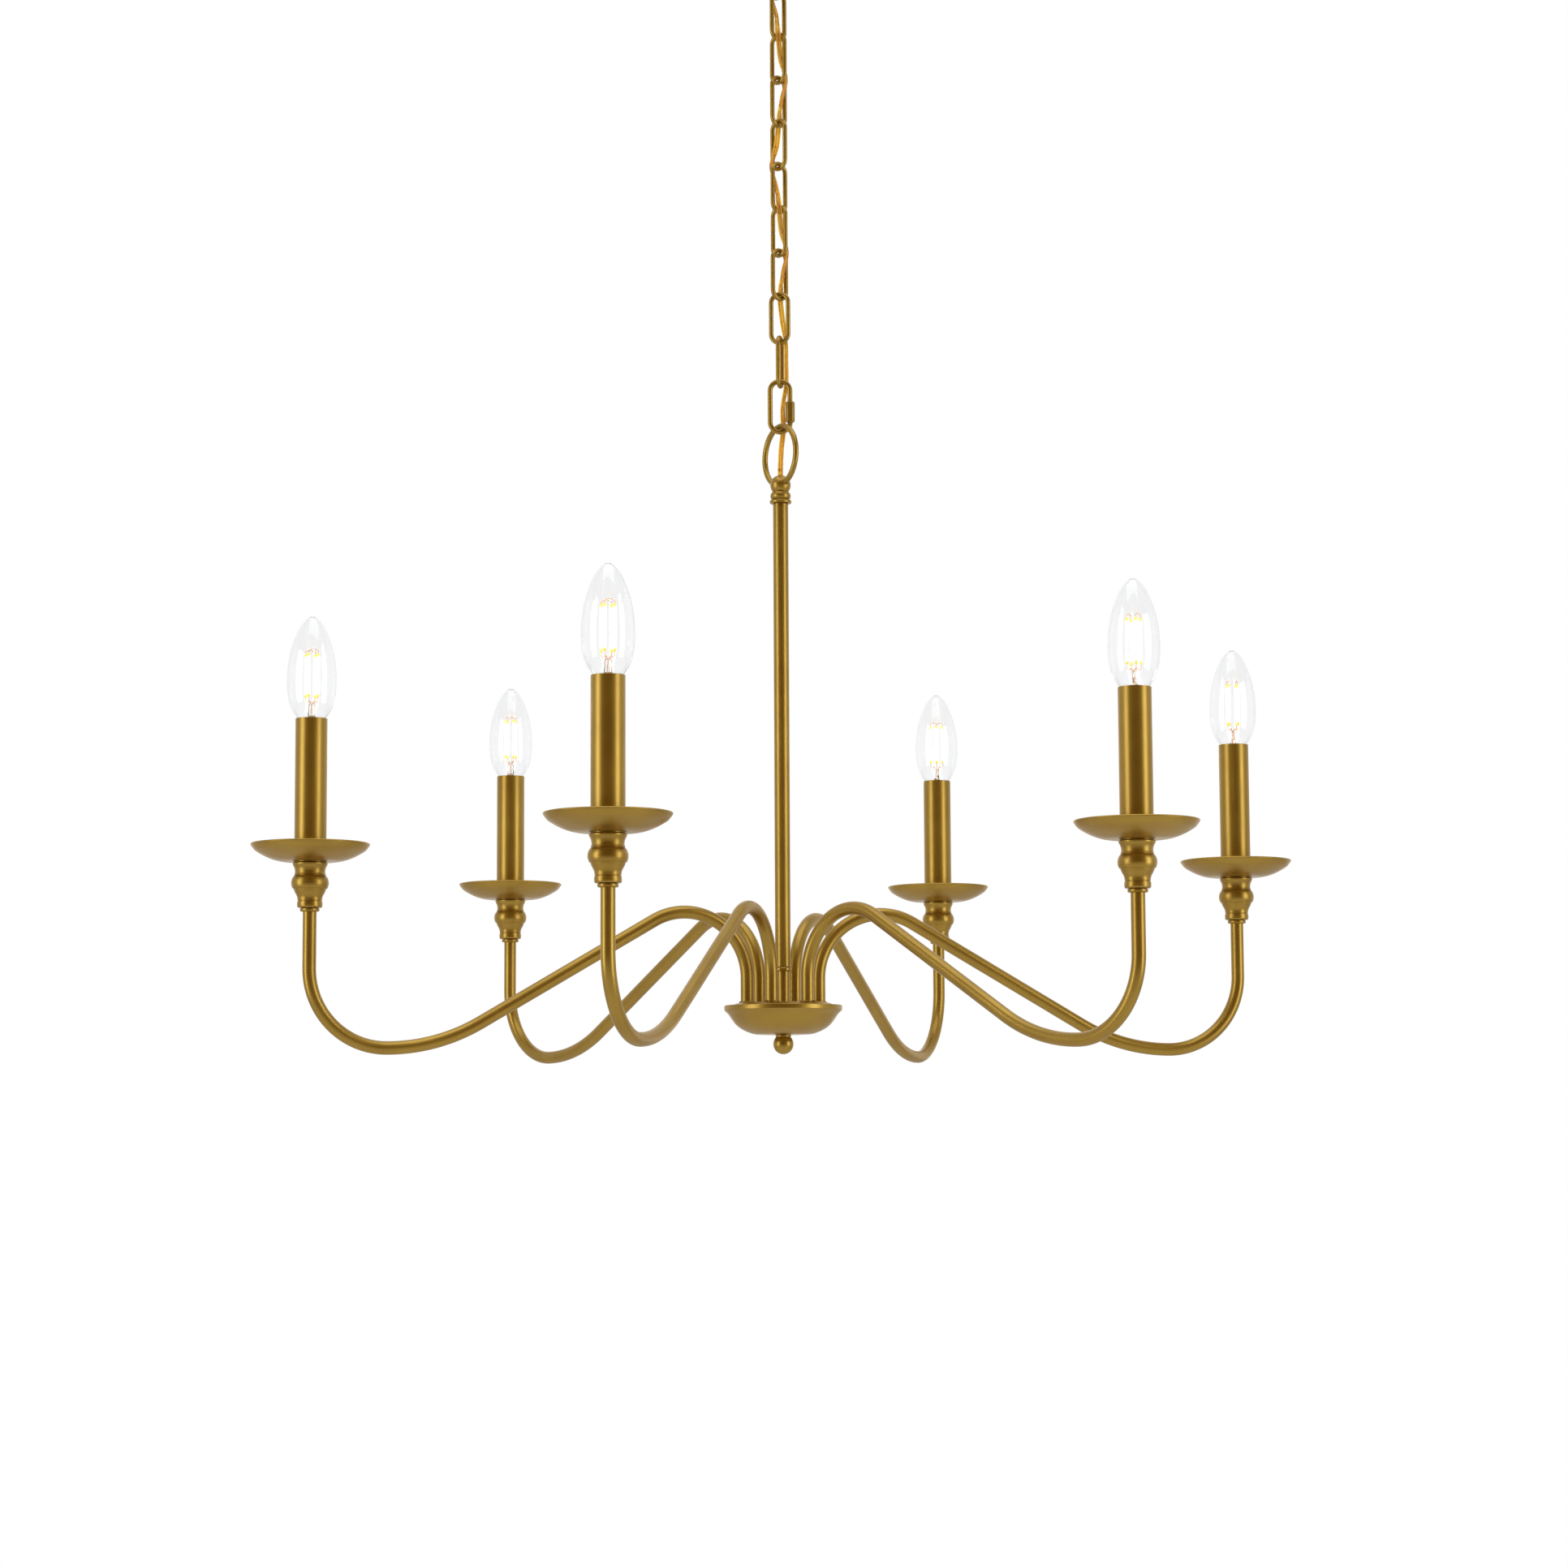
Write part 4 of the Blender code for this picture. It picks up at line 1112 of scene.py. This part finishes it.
def make_floor():
    """A wide pale disc, dished up a little at its edge."""
    rings = [[Vector((0, 0, FLOOR_Z))]]
    angles = [math.tau * i / 96 for i in range(96)]
    for radius, rise in ((2, 0), (4, 0), (6, 0), (7.5, 0.004), (8, 0.02)):
        z = FLOOR_Z + rise
        rings.append([Vector((radius * math.cos(a), radius * math.sin(a), z)) for a in angles])
    mesh = loft("studio_floor", rings)
    mesh.materials.append(make_floor_finish())
    mesh.shade_smooth()
    obj = bpy.data.objects.new("studio_floor", mesh)
    bpy.context.scene.collection.objects.link(obj)


def make_world():
    """White to the eye and through glass; dimmer, and warmer towards the front, in what it lights."""
    world = bpy.data.worlds.new("studio")
    world.use_nodes = True
    bpy.context.scene.world = world
    tree = world.node_tree
    white = tree.nodes["Background"]
    white.inputs["Color"].default_value = (1, 1, 1, 1)
    white.inputs["Strength"].default_value = 1.0
    place = add_node(tree, "TexCoord")
    split = add_node(tree, "SeparateXYZ")
    tree.links.new(place.outputs["Generated"], split.inputs["Vector"])
    depth = spread(tree, split.outputs["Y"], 0.0, 1.0, (-1.0, 1.0))
    around = (
        (0.0, (0.15, 0.08, 0.008)),
        (0.15, (0.23, 0.14, 0.045)),
        (0.5, (0.50, 0.48, 0.46)),
        (0.8, (0.66, 0.66, 0.68)),
        (1.0, (1.0, 1.0, 1.0)),
    )
    shade = ramp_of(tree, depth, around)
    studio = add_node(tree, "Background", {"Strength": 1.0})
    tree.links.new(shade, studio.inputs["Color"])
    path = add_node(tree, "LightPath")
    mirrored = add_node(tree, "Math", operation="SUBTRACT")
    tree.links.new(path.outputs["Is Glossy Ray"], mirrored.inputs[0])
    tree.links.new(path.outputs["Is Transmission Ray"], mirrored.inputs[1])
    either = add_node(tree, "Math", operation="MAXIMUM")
    tree.links.new(path.outputs["Is Diffuse Ray"], either.inputs[0])
    tree.links.new(mirrored.outputs["Value"], either.inputs[1])
    mix = add_node(tree, "MixShader")
    tree.links.new(either.outputs["Value"], mix.inputs["Fac"])
    tree.links.new(white.outputs["Background"], mix.inputs[1])
    tree.links.new(studio.outputs["Background"], mix.inputs[2])
    tree.links.new(mix.outputs["Shader"], tree.nodes["World Output"].inputs["Surface"])


def add_softbox(name, location, size, brightness):
    """An area light turned to the chandelier, of the given radiance."""
    light = bpy.data.lights.new(name, "AREA")
    light.shape = "RECTANGLE"
    light.size, light.size_y = size
    light.energy = brightness * math.pi * size[0] * size[1]
    light.color = (0.93, 0.98, 1.0)
    obj = bpy.data.objects.new(name, light)
    bpy.context.scene.collection.objects.link(obj)
    obj.location = location
    aim = Vector((0, 0, HUB_Z + 0.1)) - Vector(location)
    obj.rotation_euler = aim.to_track_quat("-Z", "Y").to_euler()
    obj.visible_camera = False


def make_lights():
    """Tall softboxes at the front left and front right, and a weak one overhead."""
    away, turn = 2.6, math.radians(62)
    side_glow, top_glow = 2.9, 1.2
    for name, side in (("softbox_left", -1), ("softbox_right", 1)):
        place = (side * away * math.sin(turn), -away * math.cos(turn), HUB_Z + 0.35)
        add_softbox(name, place, (1.0, 2.2), side_glow)
    add_softbox("softbox_top", (0, -0.3, 0.9), (1.6, 1.6), top_glow)


make_strap()
make_canopy()
make_canopy_loop()
make_links()
make_quick_link()
make_loop()
make_stem()
make_hub()
make_arms()
make_cord()
make_camera()
make_floor()
make_world()
make_lights()
bpy.context.scene.view_settings.view_transform = "Standard"
